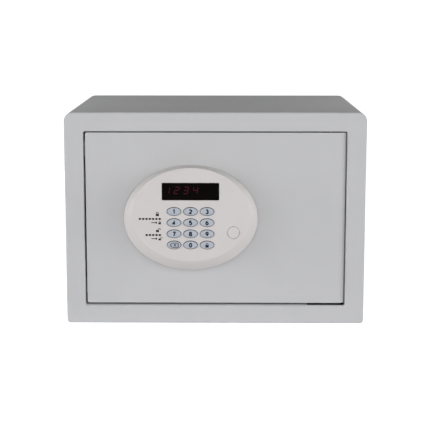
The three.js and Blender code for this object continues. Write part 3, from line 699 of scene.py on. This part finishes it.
def inner_cover():
    """The folded tray over the bolt work, with openings for the bolts, the cells and the reset button."""
    x0, x1, y0, y1, z0, z1 = corners("inner_cover")
    material = MATERIALS["body_paint"]
    radius, bend = 5 * MM, 3 * MM

    def ring(inset, y):
        return rectangle_ring(x0 + inset, x1 - inset, z0 + inset, z1 - inset, y, max(radius - inset, MM))

    rings = [ring(bend * (1 - c), y1 - bend * (1 - s)) for c, s in reversed(quarter(5))]
    rings += [ring(0, y0), ring(COVER_SHEET, y0)]
    inner_bend = bend - COVER_SHEET
    for c, s in quarter(4):
        rings.append(ring(COVER_SHEET + inner_bend * (1 - c), y1 - COVER_SHEET - inner_bend * (1 - s)))
    tray = loft("bolt_work_cover", rings, material)
    cutters = []
    bx0, bx1, _, _, bz0, bz1 = corners("battery_holder")
    across, up = 6 * MM, 4 * MM
    opening = (bx0 + across, bx1 - across, y1 - 5 * MM, y1 + MM, bz0 + up, bz1 - up)
    cutters.append(box("cut", *opening, material))
    for node in ("lower_bolt", "upper_bolt"):
        cutters.append(drill(node, "x", x0 - MM, x0 + 4 * MM, BOLT_RADIUS + 0.8 * MM, material))
    small = [(f"cover_screw_{i}", 2.3 * MM) for i in range(1, 5)] + [("reset_button", 3 * MM)]
    for node, hole in small:
        cutters.append(drill(node, "y", y1 - 4 * MM, y1 + MM, hole, material, 32))
    stands_for(smooth(carve(tray, cutters), 0.3 * MM), "inner_cover")


def screws():
    """Pan-head screws with a cross recess."""
    nodes = [f"cover_screw_{i}" for i in range(1, 5)] + ["housing_screw_1", "housing_screw_2"]
    material = MATERIALS["zinc_steel"]
    for node in nodes:
        x0, x1, y0, y1, *_ = corners(node)
        middle = centre(node)
        head = (x1 - x0) / 2
        under = y1 - 2.3 * MM
        shank = head / 2
        dome = [(under + 0.9 * MM + 1.4 * MM * s, head * (0.35 + 0.65 * c)) for c, s in quarter(6)]
        profile = [(y0, shank * 0.6), (y0 + MM, shank), (under, shank), (under, head * 0.97)] + dome
        screw = lathe(node + "_pan", "y", axis_through(node, "y"), profile, material, 32)
        recess = []
        for dx, dz in ((0.5 * head, 0.4 * MM), (0.4 * MM, 0.5 * head)):
            slot = (middle.x - dx, middle.x + dx, y1 - 1.3 * MM, y1 + MM, middle.z - dz, middle.z + dz)
            recess.append(box("cut", *slot, material))
        stands_for(smooth(carve(screw, recess), 0.1 * MM, 35, 2), node)


def bolts():
    """Round bolts with a generous nose radius."""
    for node in ("lower_bolt", "upper_bolt"):
        x0, x1, *_ = corners(node)
        nose = 1.6 * MM
        tip = [(x0 + nose * (1 - s), BOLT_RADIUS - nose * (1 - c)) for c, s in reversed(quarter(6))]
        neck = x1 - 7.3 * MM
        profile = [(x0, 3 * MM)] + tip + [
            (neck - 0.4 * MM, BOLT_RADIUS),
            (neck, BOLT_RADIUS - 0.4 * MM),
            (neck, 4 * MM),
            (x1 - 2.7 * MM, 4 * MM),
            (x1 - 2.7 * MM, 6 * MM),
            (x1 - 0.5 * MM, 5.6 * MM),
            (x1, 4.6 * MM),
        ]
        bolt = lathe(node + "_bar", "x", axis_through(node, "x"), profile, MATERIALS["chrome_steel"], 64)
        stands_for(smooth(bolt, 0), node)


def battery_cover():
    """The battery door: a plate with rounded edges, grooves, a finger scoop and two hooks behind it."""
    x0, x1, y0, y1, z0, z1 = corners("battery_cover")
    material = MATERIALS["black_plastic"]
    plate_front = y1 - 2.2 * MM
    edge, radius = 0.8 * MM, 4 * MM
    rings = [rectangle_ring(x0, x1, z0, z1, plate_front, radius)]
    for c, s in quarter(4):
        inset = edge * (1 - c)
        sides = (x0 + inset, x1 - inset, z0 + inset, z1 - inset)
        rings.append(rectangle_ring(*sides, y1 - edge * (1 - s), radius - inset))
    cover = loft("battery_door", rings, material)
    middle = (x0 + x1) / 2
    additions = []
    for half, low in ((15 * MM, z0 + 7 * MM), (6 * MM, z1 - 9 * MM)):
        hook = (middle - half, middle + half, y0, plate_front + MM, low, low + 2 * MM)
        additions.append(box("hook", *hook, material))
    carve(cover, additions, "UNION")
    scoop = [(middle + way * 10 * MM, 6 * MM) for way in (-1, 1)]
    cutters = [lathe("cut", "x", (0, y1 + 5 * MM, z1 - 10 * MM), scoop, material, 64)]
    for i in range(9):
        z = z0 + 12 * MM + i * 3.2 * MM
        groove = (x0 + 10 * MM, x1 - 10 * MM, y1 - 0.35 * MM, y1 + MM, z, z + 1.1 * MM)
        cutters.append(box("cut", *groove, material))
    stands_for(smooth(carve(cover, cutters), 0.15 * MM, 35, 2), "battery_cover")


def reset_button():
    """A red button with a domed end, a flange that keeps it in and a thin plunger."""
    _, _, y0, y1, *_ = corners("reset_button")
    stem = 1.5 * MM
    radius = 2.6 * MM
    shoulder = -104 * MM
    flange = y1 - 2.8 * MM
    dome = [(y1 - 0.6 * MM + 0.6 * MM * s, radius - 0.9 * MM * (1 - c)) for c, s in quarter(5)]
    profile = [(y0, stem * 0.7), (y0 + 0.4 * MM, stem), (shoulder, stem), (shoulder, radius)]
    profile += [(flange - 2.2 * MM, radius), (flange - 2.2 * MM, 4 * MM), (flange, 4 * MM), (flange, radius)]
    profile += dome + [(y1, radius * 0.3)]
    place = axis_through("reset_button", "y")
    button = lathe("reset_plunger", "y", place, profile, MATERIALS["red_plastic"], 32)
    stands_for(smooth(button, 0), "reset_button")


# ---------- Keypad ----------


def key_nodes():
    """(node, legend) of each key, row by row."""
    return [(f"key_{legend}", legend) for row in KEY_ROWS for legend in row]


def keypad_housing():
    """The oval housing: an upright rim, a slope that leans in most at the foot, and a flat face."""
    x0, x1, y0, y1, z0, z1 = corners("keypad_housing")
    material = MATERIALS["housing_plastic"]
    x, foot_z = (x0 + x1) / 2, (z0 + z1) / 2
    half = ((x1 - x0) / 2, (z1 - z0) / 2)
    rim = y1 - RIM_DEPTH

    def ring(share, y, inset=0.0):
        a = half[0] + (FACE_HALF[0] - half[0]) * share - inset
        b = half[1] + (FACE_HALF[1] - half[1]) * share - inset
        return ellipse_ring(x, foot_z + (FACE_CENTRE_Z - foot_z) * share, a, b, y)

    soft_rim = [
        (0.0, rim + 1.6 * MM), (0.006, rim + 0.9 * MM), (0.03, rim + 0.2 * MM),
        (0.08, rim - 0.5 * MM), (0.16, rim - 1.4 * MM),
    ]
    slope_end = y0 + 1.9 * MM
    rings = [ring(0, y1)] + [ring(share, y) for share, y in soft_rim]
    rings.append(ring(0.5, (rim - 1.4 * MM + slope_end) / 2 - 0.5 * MM))
    for share, depth in ((0.78, 1.75), (0.88, 1.05), (0.95, 0.58), (1.01, 0.25), (1.06, 0.07), (1.11, 0)):
        rings.append(ring(share, y0 + depth * MM))
    inside = [ring(1, y0 + WALL, WALL), ring(0, rim, WALL), ring(0, y1, WALL)]
    housing = loft("housing", inside + rings, material)
    cutters = []
    wx0, wx1, _, _, wz0, wz1 = corners("display_window")
    play = 0.3 * MM
    through = (y0 - MM, y0 + WALL + 2 * MM)
    window = [rectangle_ring(wx0 - play, wx1 + play, wz0 - play, wz1 + play, y, 0.9 * MM) for y in through]
    cutters.append(loft("cut", window, material))
    for node, _ in key_nodes():
        middle = centre(node)
        a, b = (half_size + KEY_CLEARANCE for half_size in KEY_HALF)
        hole = [ellipse_ring(middle.x, middle.z, a, b, y, 48) for y in through]
        cutters.append(loft("cut", hole, material))
    cap_radius = centre("override_cap").x - corners("override_cap")[0] + 0.35 * MM
    cutters.append(drill("override_cap", "y", *through, cap_radius, material, 64))
    stands_for(smooth(carve(housing, cutters), 0.3 * MM, 40, 3), "keypad_housing")


def display_window():
    """The smoked window, with its front edges rounded."""
    x0, x1, y0, y1, z0, z1 = corners("display_window")
    edge, radius = 0.35 * MM, 0.7 * MM
    rings = [rectangle_ring(x0, x1, z0, z1, y1, radius)]
    for c, s in quarter(3):
        inset = edge * (1 - c)
        sides = (x0 + inset, x1 - inset, z0 + inset, z1 - inset)
        rings.append(rectangle_ring(*sides, y0 + edge * (1 - s), radius))
    stands_for(smooth(loft("lens", rings, MATERIALS["display_lens"]), 0), "display_window")


def bar(start, end, width, shorten):
    """A seven-segment bar: a hexagon between two points, drawn in x and z."""
    a, b = Vector(start), Vector(end)
    way = (b - a).normalized()
    side = Vector((-way.y, way.x)) * width / 2
    a, b = a + way * shorten, b - way * shorten
    tip = way * width / 2
    return [a, a + tip + side, b - tip + side, b, b - tip - side, a + tip - side]


SEGMENTS = {"1": "bc", "2": "abged", "3": "abgcd", "4": "fgbc"}


def seven_segment(digit, x, z):
    """The lit bars of a digit, slanted to the right, as outlines in x and z."""
    right, high = LED_HALF
    left, low, middle = -right, -high, 0
    ends = {
        "a": ((left, high), (right, high)), "b": ((right, high), (right, middle)),
        "c": ((right, middle), (right, low)), "d": ((left, low), (right, low)),
        "e": ((left, middle), (left, low)), "f": ((left, high), (left, middle)),
        "g": ((left, middle), (right, middle)),
    }
    outlines = []
    for name in SEGMENTS[digit]:
        outline = bar(*ends[name], LED_BAR, 0.22 * MM)
        outlines.append([(x + p.x + p.y * LED_SLANT, z + p.y) for p in outline])
    return outlines


def plate(name, outlines, y0, y1, material):
    """Flat outlines in x and z, thickened from y0 to y1, as one object."""
    parts = []
    for outline in outlines:
        parts.append(loft("part", [[(x, y, z) for x, z in outline] for y in (y0, y1)], material))
    return join(name, parts)


def display_digits():
    """1234 in the first four of the display's six places."""
    x0, x1, y0, _, z0, z1 = corners("display_window")
    pitch = (x1 - x0) / 6.05
    first = x0 + 0.55 * pitch
    z = (z0 + z1) / 2 + 1.4 * MM
    for i, digit in enumerate("1234"):
        outlines = seven_segment(digit, first + i * pitch, z)
        lit = plate(f"digit_{digit}", outlines, y0 - 0.03 * MM, y0 + 0.1 * MM, LIT)
        decorates(lit, "led_display")


def key_cap(node):
    """An oval key with a rounded crown over a dark rubber skirt and plunger; the dark rubber on the crown's
    edge and flanks is partly painted shade round the key.
    """
    _, _, y0, y1, *_ = corners(node)
    middle = centre(node)
    a, b = KEY_HALF
    crown = [(0.45, 0.0), (0.7, 0.04), (0.84, 0.14), (0.93, 0.34), (0.98, 0.66), (1.0, 1.1)]
    rings = []
    for share, depth in crown:
        shrink = a * (1 - share)
        rings.append((a - shrink, b - shrink * 0.85, y0 + (depth + 0.05) * MM))
    skirt = y0 + 4.0 * MM
    wide, high = a + 1.2 * MM, b + 1.2 * MM
    rings += [(a, b, skirt), (wide, high, skirt), (wide, high, skirt + MM)]
    stem = 2 * MM
    rings += [(stem, stem, skirt + MM), (stem, stem, y1)]
    loops = [ellipse_ring(middle.x, middle.z, ra, rb, y, 48) for ra, rb, y in rings]
    cap = loft(node + "_cap", loops, MATERIALS["key_plastic"])
    cap.data.materials.append(MATERIALS["bumper_rubber"])
    # Faces deeper than this depth take the dark rubber: partly the real skirt and plunger, partly painted
    # shade that darkens the crown's edge and flanks in the gap round the key.
    for face in cap.data.polygons:
        if face.center.y > y0 + KEY_RUBBER_SHADE_DEPTH:
            face.material_index = 1
    return stands_for(smooth(cap, 0.12 * MM, 50, 2), node)


def arc(x, z, across, high, start, end, steps=12):
    """Points along part of an ellipse, between two angles in degrees."""
    turns = [math.radians(start + (end - start) * i / steps) for i in range(steps + 1)]
    return [(x + across * math.cos(t), z + high * math.sin(t)) for t in turns]


# The strokes of each digit, in a box from -0.5 to 0.5 across and -0.8 to 0.8 high.
DIGITS = {
    "0": [arc(0, 0, 0.48, 0.8, 0, 360, 24)],
    "1": [[(-0.3, 0.45), (0.1, 0.8), (0.1, -0.8)]],
    "2": [arc(0, 0.34, 0.46, 0.46, 165, -35) + [(-0.46, -0.8), (0.5, -0.8)]],
    "3": [arc(-0.02, 0.4, 0.42, 0.4, 150, -90), arc(-0.02, -0.38, 0.5, 0.42, 90, -150)],
    "4": [[(0.2, -0.8), (0.2, 0.8), (-0.52, -0.35), (0.5, -0.35)]],
    "5": [[(0.42, 0.8), (-0.32, 0.8), (-0.4, 0.1)] + arc(-0.02, -0.27, 0.48, 0.53, 125, -145)],
    "6": [arc(0, -0.3, 0.47, 0.5, 0, 360, 20), arc(0.55, -0.3, 1.02, 1.1, 180, 112)],
    "7": [[(-0.48, 0.8), (0.5, 0.8), (-0.12, -0.8)]],
    "8": [arc(0, 0.4, 0.4, 0.4, 0, 360, 18), arc(0, -0.38, 0.48, 0.42, 0, 360, 20)],
    "9": [arc(0, 0.3, 0.47, 0.5, 0, 360, 20), arc(-0.55, 0.3, 1.02, 1.1, 0, -68)],
}


def ribbon(points, width):
    """A mitred band of quads along a line of points, as outlines in x and z."""
    points = [Vector(p) for p in points]
    closed = (points[0] - points[-1]).length < width * 0.01
    ways = [(b - a).normalized() for a, b in zip(points, points[1:])]
    sides = []
    for i in range(len(points)):
        before = ways[i - 1] if i or closed else ways[0]
        after = ways[i] if i < len(ways) else ways[0] if closed else ways[-1]
        middle = (before + after).normalized()
        reach = width / 2 / max(0.5, middle.dot(before))
        sides.append(Vector((-middle.y, middle.x)) * reach)
    return [
        [tuple(points[i] + sides[i]), tuple(points[i] - sides[i]),
         tuple(points[i + 1] - sides[i + 1]), tuple(points[i + 1] + sides[i + 1])]
        for i in range(len(ways))
    ]


def digit_outlines(digit, x, z, size, width):
    """A digit `size` high, drawn with strokes `width` wide."""
    scale = (size - width) / 1.6
    outlines = []
    for line in DIGITS[digit]:
        outlines += ribbon([(x + across * scale, z + high * scale) for across, high in line], width)
    return outlines


def ring_outline(x, z, radius, start, end, width, steps=16):
    """A band of a circle between two angles in degrees, as an outline in x and z."""
    turns = [math.radians(start + (end - start) * i / steps) for i in range(steps + 1)]
    outer = [(x + (radius + width / 2) * math.cos(t), z + (radius + width / 2) * math.sin(t)) for t in turns]
    inner = [(x + (radius - width / 2) * math.cos(t), z + (radius - width / 2) * math.sin(t)) for t in turns]
    return outer + inner[::-1]


def rectangle_outline(x0, x1, z0, z1):
    return [(x0, z0), (x1, z0), (x1, z1), (x0, z1)]


def stroke(start, end, width):
    """A straight stroke between two points, as an outline in x and z."""
    a, b = Vector(start), Vector(end)
    way = (b - a).normalized()
    side = Vector((-way.y, way.x)) * width / 2
    return [tuple(a + side), tuple(a - side), tuple(b - side), tuple(b + side)]


def padlock(x, z, size, shut=True):
    """A padlock pictogram `size` high, with its shackle shut or swung open."""
    half = size * 0.36
    body_top = z + size * 0.05
    outlines = [rectangle_outline(x - half, x + half, z - size / 2, body_top)]
    shackle = half * 0.62
    width = size * 0.14
    shift = 0 if shut else half * 1.25
    rise = size * 0.12
    for side in (-1, 1):
        leg_foot = body_top if shut or side < 0 else body_top + rise
        leg_left = x + shift + side * shackle - width / 2
        outlines.append(rectangle_outline(leg_left, leg_left + width, leg_foot - width, body_top + rise))
    outlines.append(ring_outline(x + shift, body_top + rise, shackle, 0, 180, width))
    return outlines


def backspace(x, z, width, height):
    """A clear-entry pictogram: an arrow-shaped frame round a cross."""
    line = 0.85 * MM
    left, right, low, high = x - width / 2, x + width / 2, z - height / 2, z + height / 2
    point = left + height * 0.5
    frame_points = [(left, z), (point, high), (right, high), (right, low), (point, low)]
    outlines = [stroke(a, b, line) for a, b in zip(frame_points, frame_points[1:] + frame_points[:1])]
    cross_x = (point + right) / 2 - 0.3 * MM
    reach = height * 0.24
    for rise in (reach, -reach):
        outlines.append(stroke((cross_x - reach, z - rise), (cross_x + reach, z + rise), line))
    return outlines


def keys():
    """Every key with its printed mark: a digit, the clear-entry mark or the padlock."""
    for node, legend in key_nodes():
        key_cap(node)
        middle = centre(node)
        if legend == "clear":
            outlines = backspace(middle.x, middle.z, 9.4 * MM, 5.0 * MM)
        elif legend == "lock":
            outlines = padlock(middle.x, middle.z, 5.4 * MM)
        else:
            outlines = digit_outlines(legend, middle.x, middle.z, DIGIT_HEIGHT, DIGIT_STROKE)
        y0 = corners(node)[2]
        mark = plate(f"{node}_legend", outlines, y0 + 0.01 * MM, y0 + 0.12 * MM, KEY_INK)
        decorates(mark, node)


def arrow(x, z, length, line):
    """An arrow that ends at x, pointing right."""
    head = 1.15 * MM
    return [
        stroke((x - length, z), (x - 0.3 * MM, z), line),
        stroke((x - head, z + head), (x, z), line),
        stroke((x - head, z - head), (x, z), line),
    ]


def panel_legends():
    """Two printed reminders beside the keys: keys to press, then a padlock that shuts or opens."""
    y0 = corners("keypad_housing")[2]
    right = corners("key_4")[0] - 5.8 * MM
    row = centre("key_1").z - centre("key_4").z
    upper = centre("key_1").z - 0.24 * row
    half = (1.55 * MM, 1.25 * MM)
    pitch = 3.8 * MM
    for name, z, shut, presses in (("shut", upper, True, 7), ("open", upper - 1.44 * row, False, 5)):
        outlines = padlock(right - 4.2 * MM, z + 0.2 * MM, 5.0 * MM, shut)
        for i in range(presses):
            ring = ellipse_ring(right - half[0] - i * pitch, z - 5.6 * MM, *half, 0, 16)
            outlines.append([(x, height) for x, _, height in ring])
        low = z - 9.9 * MM
        outlines += padlock(right - 1.6 * MM, low, 4.0 * MM, shut)
        outlines += arrow(right - 4.8 * MM, low, 6.5 * MM, 0.95 * MM)
        legend = plate(f"legend_{name}", outlines, y0 - 0.02 * MM, y0 + 0.05 * MM, PANEL_INK)
        decorates(legend, "keypad_housing")


def override_cap():
    """The plain round cap over the emergency lock, slightly dished."""
    x0, x1, y0, y1, *_ = corners("override_cap")
    radius = (x1 - x0) / 2
    dish = [(0.10, 0.2), (0.09, 0.5), (0.04, 0.75), (0, 0.88), (0.05, 0.94)]
    side = [(0.25, 0.985), (0.6, 1), (2.6, 1)]
    profile = [(y0 + depth * MM, share * radius) for depth, share in dish + side]
    clip = radius - 1.4 * MM
    profile += [(y0 + 2.6 * MM, clip), (y1, clip), (y1, clip - MM), (y0 + 2 * MM, clip - MM)]
    place = axis_through("override_cap", "y")
    cap = lathe("lock_cap", "y", place, profile, MATERIALS["housing_plastic"], 96)
    stands_for(smooth(cap, 0.08 * MM, 50, 2), "override_cap")


# ---------- Inner works ----------


def battery_cells():
    """Cells with a jacket, rolled edges and a raised contact."""
    for i in range(1, 5):
        node = f"battery_{i}"
        x0, x1, _, _, z0, z1 = corners(node)
        radius = (x1 - x0) / 2
        up = 1 if i % 2 else -1
        foot = z0 if up > 0 else z1
        length = (z1 - z0) / MM
        steps = [(0, 0.80), (0.15, 0.86), (0.2, 0.93), (0.8, 1.0), (length - 2.6, 1.0), (length - 1.9, 0.94),
                 (length - 1.9, 0.84), (length - 1.5, 0.80), (length - 1.5, 0.38), (length - 0.2, 0.36),
                 (length, 0.30)]
        profile = [(foot + up * d * MM, r * radius) for d, r in steps]
        cell = lathe(node + "_cell", "z", axis_through(node, "z"), profile, MATERIALS["cell_jacket"])
        stands_for(smooth(cell, 0), node)


def motor():
    """A small can motor with a rolled rim, a groove near its end and a bearing boss."""
    x0, x1, y0, y1, *_ = corners("motor")
    can = (y1 - y0) / 2
    end = x1 - 2 * MM
    profile = [(x0, can * 0.5), (x0, can * 0.86), (x0 + 0.6 * MM, can * 0.97), (x0 + 1.6 * MM, can),
               (end - 6 * MM, can), (end - 6 * MM, can * 0.97), (end - 5.4 * MM, can * 0.97),
               (end - 5.4 * MM, can), (end - MM, can), (end - 0.3 * MM, can * 0.95), (end, can * 0.88),
               (end, 2.5 * MM), (x1 - 0.3 * MM, 2.5 * MM), (x1, 2.1 * MM)]
    can_piece = lathe("motor_can", "x", axis_through("motor", "x"), profile, MATERIALS["zinc_steel"])
    stands_for(smooth(can_piece, 0), "motor")


def dress_cad_nodes():
    """Every CAD node that stays shown gets its material, broken edges and smooth shading."""
    edge_width = {"drive_gear": 0.12 * MM, "bolt_carriage": 0.2 * MM}
    for name, node in frame["nodes"].items():
        if node.hide_render:
            continue
        node.data.materials.clear()
        node.data.materials.append(MATERIALS[slot_of[name]])
        if "custom_normal" in node.data.attributes:
            node.data.attributes.remove(node.data.attributes["custom_normal"])
        weld = node.modifiers.new("weld", "WELD")
        weld.merge_threshold = 0.002 * MM
        flat = node.modifiers.new("flat", "DECIMATE")
        flat.decimate_type = "DISSOLVE"
        flat.angle_limit = math.radians(0.5)
        smooth(node, edge_width.get(name, 0.3 * MM), 32, 2)


# ---------- Stage ----------

SIDE_BOX = math.radians(74)
SOFT_BOXES = (  # towards, tightness, strength
    ((0, -1, 0), 6, 3.6),
    ((math.sin(SIDE_BOX), -math.cos(SIDE_BOX), 0), 16, 7.8),
    ((-math.sin(SIDE_BOX), -math.cos(SIDE_BOX), 0), 16, 7.8),
    ((0, 1, 0), 3, 0.5),
)
END_WATTS = 0.06
BACK_WATTS = 3.2
FLOOR_GLOW = 0.14
FLOOR_WHITE = 0.86
CAMERA_LENS = 100.275
CAMERA_SHIFT = -0.05
CAMERA_PLACE = (0.0104, -1.4826, 0.3759)
CAMERA_PITCH = math.radians(9.11)
CAMERA_YAW = math.radians(0.57)


def floor():
    """A white floor that glows to the camera, so that it meets the backdrop, and lights the body little."""
    size = 12
    points = [(-size, -size, 0), (size, -size, 0), (size, size, 0), (-size, size, 0)]
    s = Shader("floor", (0.85, 0.85, 0.86), 0.9, specular=0.0)
    s.link(s.blend(s.noise(0.4, 2), (0.84, 0.84, 0.85), (0.86, 0.86, 0.87)), "Base Color")
    s.set("Emission Color", (0.96, 0.98, 1, 1))
    path = s.nodes.new("ShaderNodeLightPath")
    s.link(s.ramp(path.outputs["Is Camera Ray"], FLOOR_GLOW, FLOOR_WHITE, 0, 1), "Emission Strength")
    plane = make("floor", points, [(0, 1, 2, 3)], s.material)


def math_node(nodes, links, operation, first, second):
    """The result of a Math node whose inputs are sockets or numbers."""
    node = nodes.new("ShaderNodeMath")
    node.operation = operation
    for socket, value in zip(node.inputs, (first, second)):
        if isinstance(value, (int, float)):
            socket.default_value = value
        else:
            links.new(value, socket)
    return node.outputs["Value"]


def backdrop():
    """Soft light from broad boxes in front, at both sides and weakly behind; the camera sees plain white."""
    world = bpy.data.worlds.new("soft_boxes")
    world.use_nodes = True
    bpy.context.scene.world = world
    nodes, links = world.node_tree.nodes, world.node_tree.links
    direction = nodes.new("ShaderNodeTexCoord").outputs["Generated"]
    total = 0
    for towards, tightness, strength in SOFT_BOXES:
        facing = nodes.new("ShaderNodeVectorMath")
        facing.operation = "DOT_PRODUCT"
        facing.inputs[1].default_value = Vector(towards).normalized()
        links.new(direction, facing.inputs[0])
        clipped = math_node(nodes, links, "MAXIMUM", facing.outputs["Value"], 0)
        lobe = math_node(nodes, links, "POWER", clipped, tightness)
        lobe = math_node(nodes, links, "MULTIPLY", lobe, strength)
        total = math_node(nodes, links, "ADD", lobe, total)
    lit = nodes["Background"]
    lit.inputs["Color"].default_value = (1.0, 1.0, 1.0, 1)
    links.new(total, lit.inputs["Strength"])
    white = nodes.new("ShaderNodeBackground")
    white.inputs["Color"].default_value = (1, 1, 1, 1)
    white.inputs["Strength"].default_value = 1.05
    path = nodes.new("ShaderNodeLightPath")
    mix = nodes.new("ShaderNodeMixShader")
    links.new(path.outputs["Is Camera Ray"], mix.inputs["Fac"])
    links.new(lit.outputs["Background"], mix.inputs[1])
    links.new(white.outputs["Background"], mix.inputs[2])
    links.new(mix.outputs["Shader"], nodes["World Output"].inputs["Surface"])


def lamp(place, towards, size, watts):
    """A soft square lamp that the camera doesn't see."""
    data = bpy.data.lights.new("lamp", "AREA")
    data.shape = "SQUARE"
    data.size = size
    data.energy = watts
    light = bpy.data.objects.new("lamp", data)
    light.location = place
    light.rotation_euler = (Vector(towards) - Vector(place)).to_track_quat("-Z", "Y").to_euler()
    light.visible_camera = False
    bpy.context.scene.collection.objects.link(light)


def lamps():
    """Two small lamps lift the ends of the top, and a low one behind lights the back and not the top."""
    for side in (-1, 1):
        lamp((side * 0.27, 0, 0.385), (side * 0.12, 0, 0.25), 0.12, END_WATTS)
    lamp((0, 1.2, 0.125), (0, 0, 0.125), 0.24, BACK_WATTS)


def camera():
    """A long lens from slightly above the front."""
    data = bpy.data.cameras.new("camera")
    data.sensor_width = 36
    data.lens = CAMERA_LENS
    data.shift_y = CAMERA_SHIFT
    data.clip_start, data.clip_end = 0.05, 50
    cam = bpy.data.objects.new("camera", data)
    cam.location = CAMERA_PLACE
    cam.rotation_euler = (math.pi / 2 - CAMERA_PITCH, 0, CAMERA_YAW)
    bpy.context.scene.collection.objects.link(cam)
    bpy.context.scene.camera = cam


body_shell()
back_panel()
floor_mat()
hole_plugs()
stop_pads()
hinge_pins()
door_plate()
inner_cover()
screws()
bolts()
battery_cover()
reset_button()
keypad_housing()
display_window()
display_digits()
keys()
panel_legends()
override_cap()
battery_cells()
motor()
dress_cad_nodes()
floor()
backdrop()
lamps()
camera()
bpy.context.scene.view_settings.view_transform = "Standard"
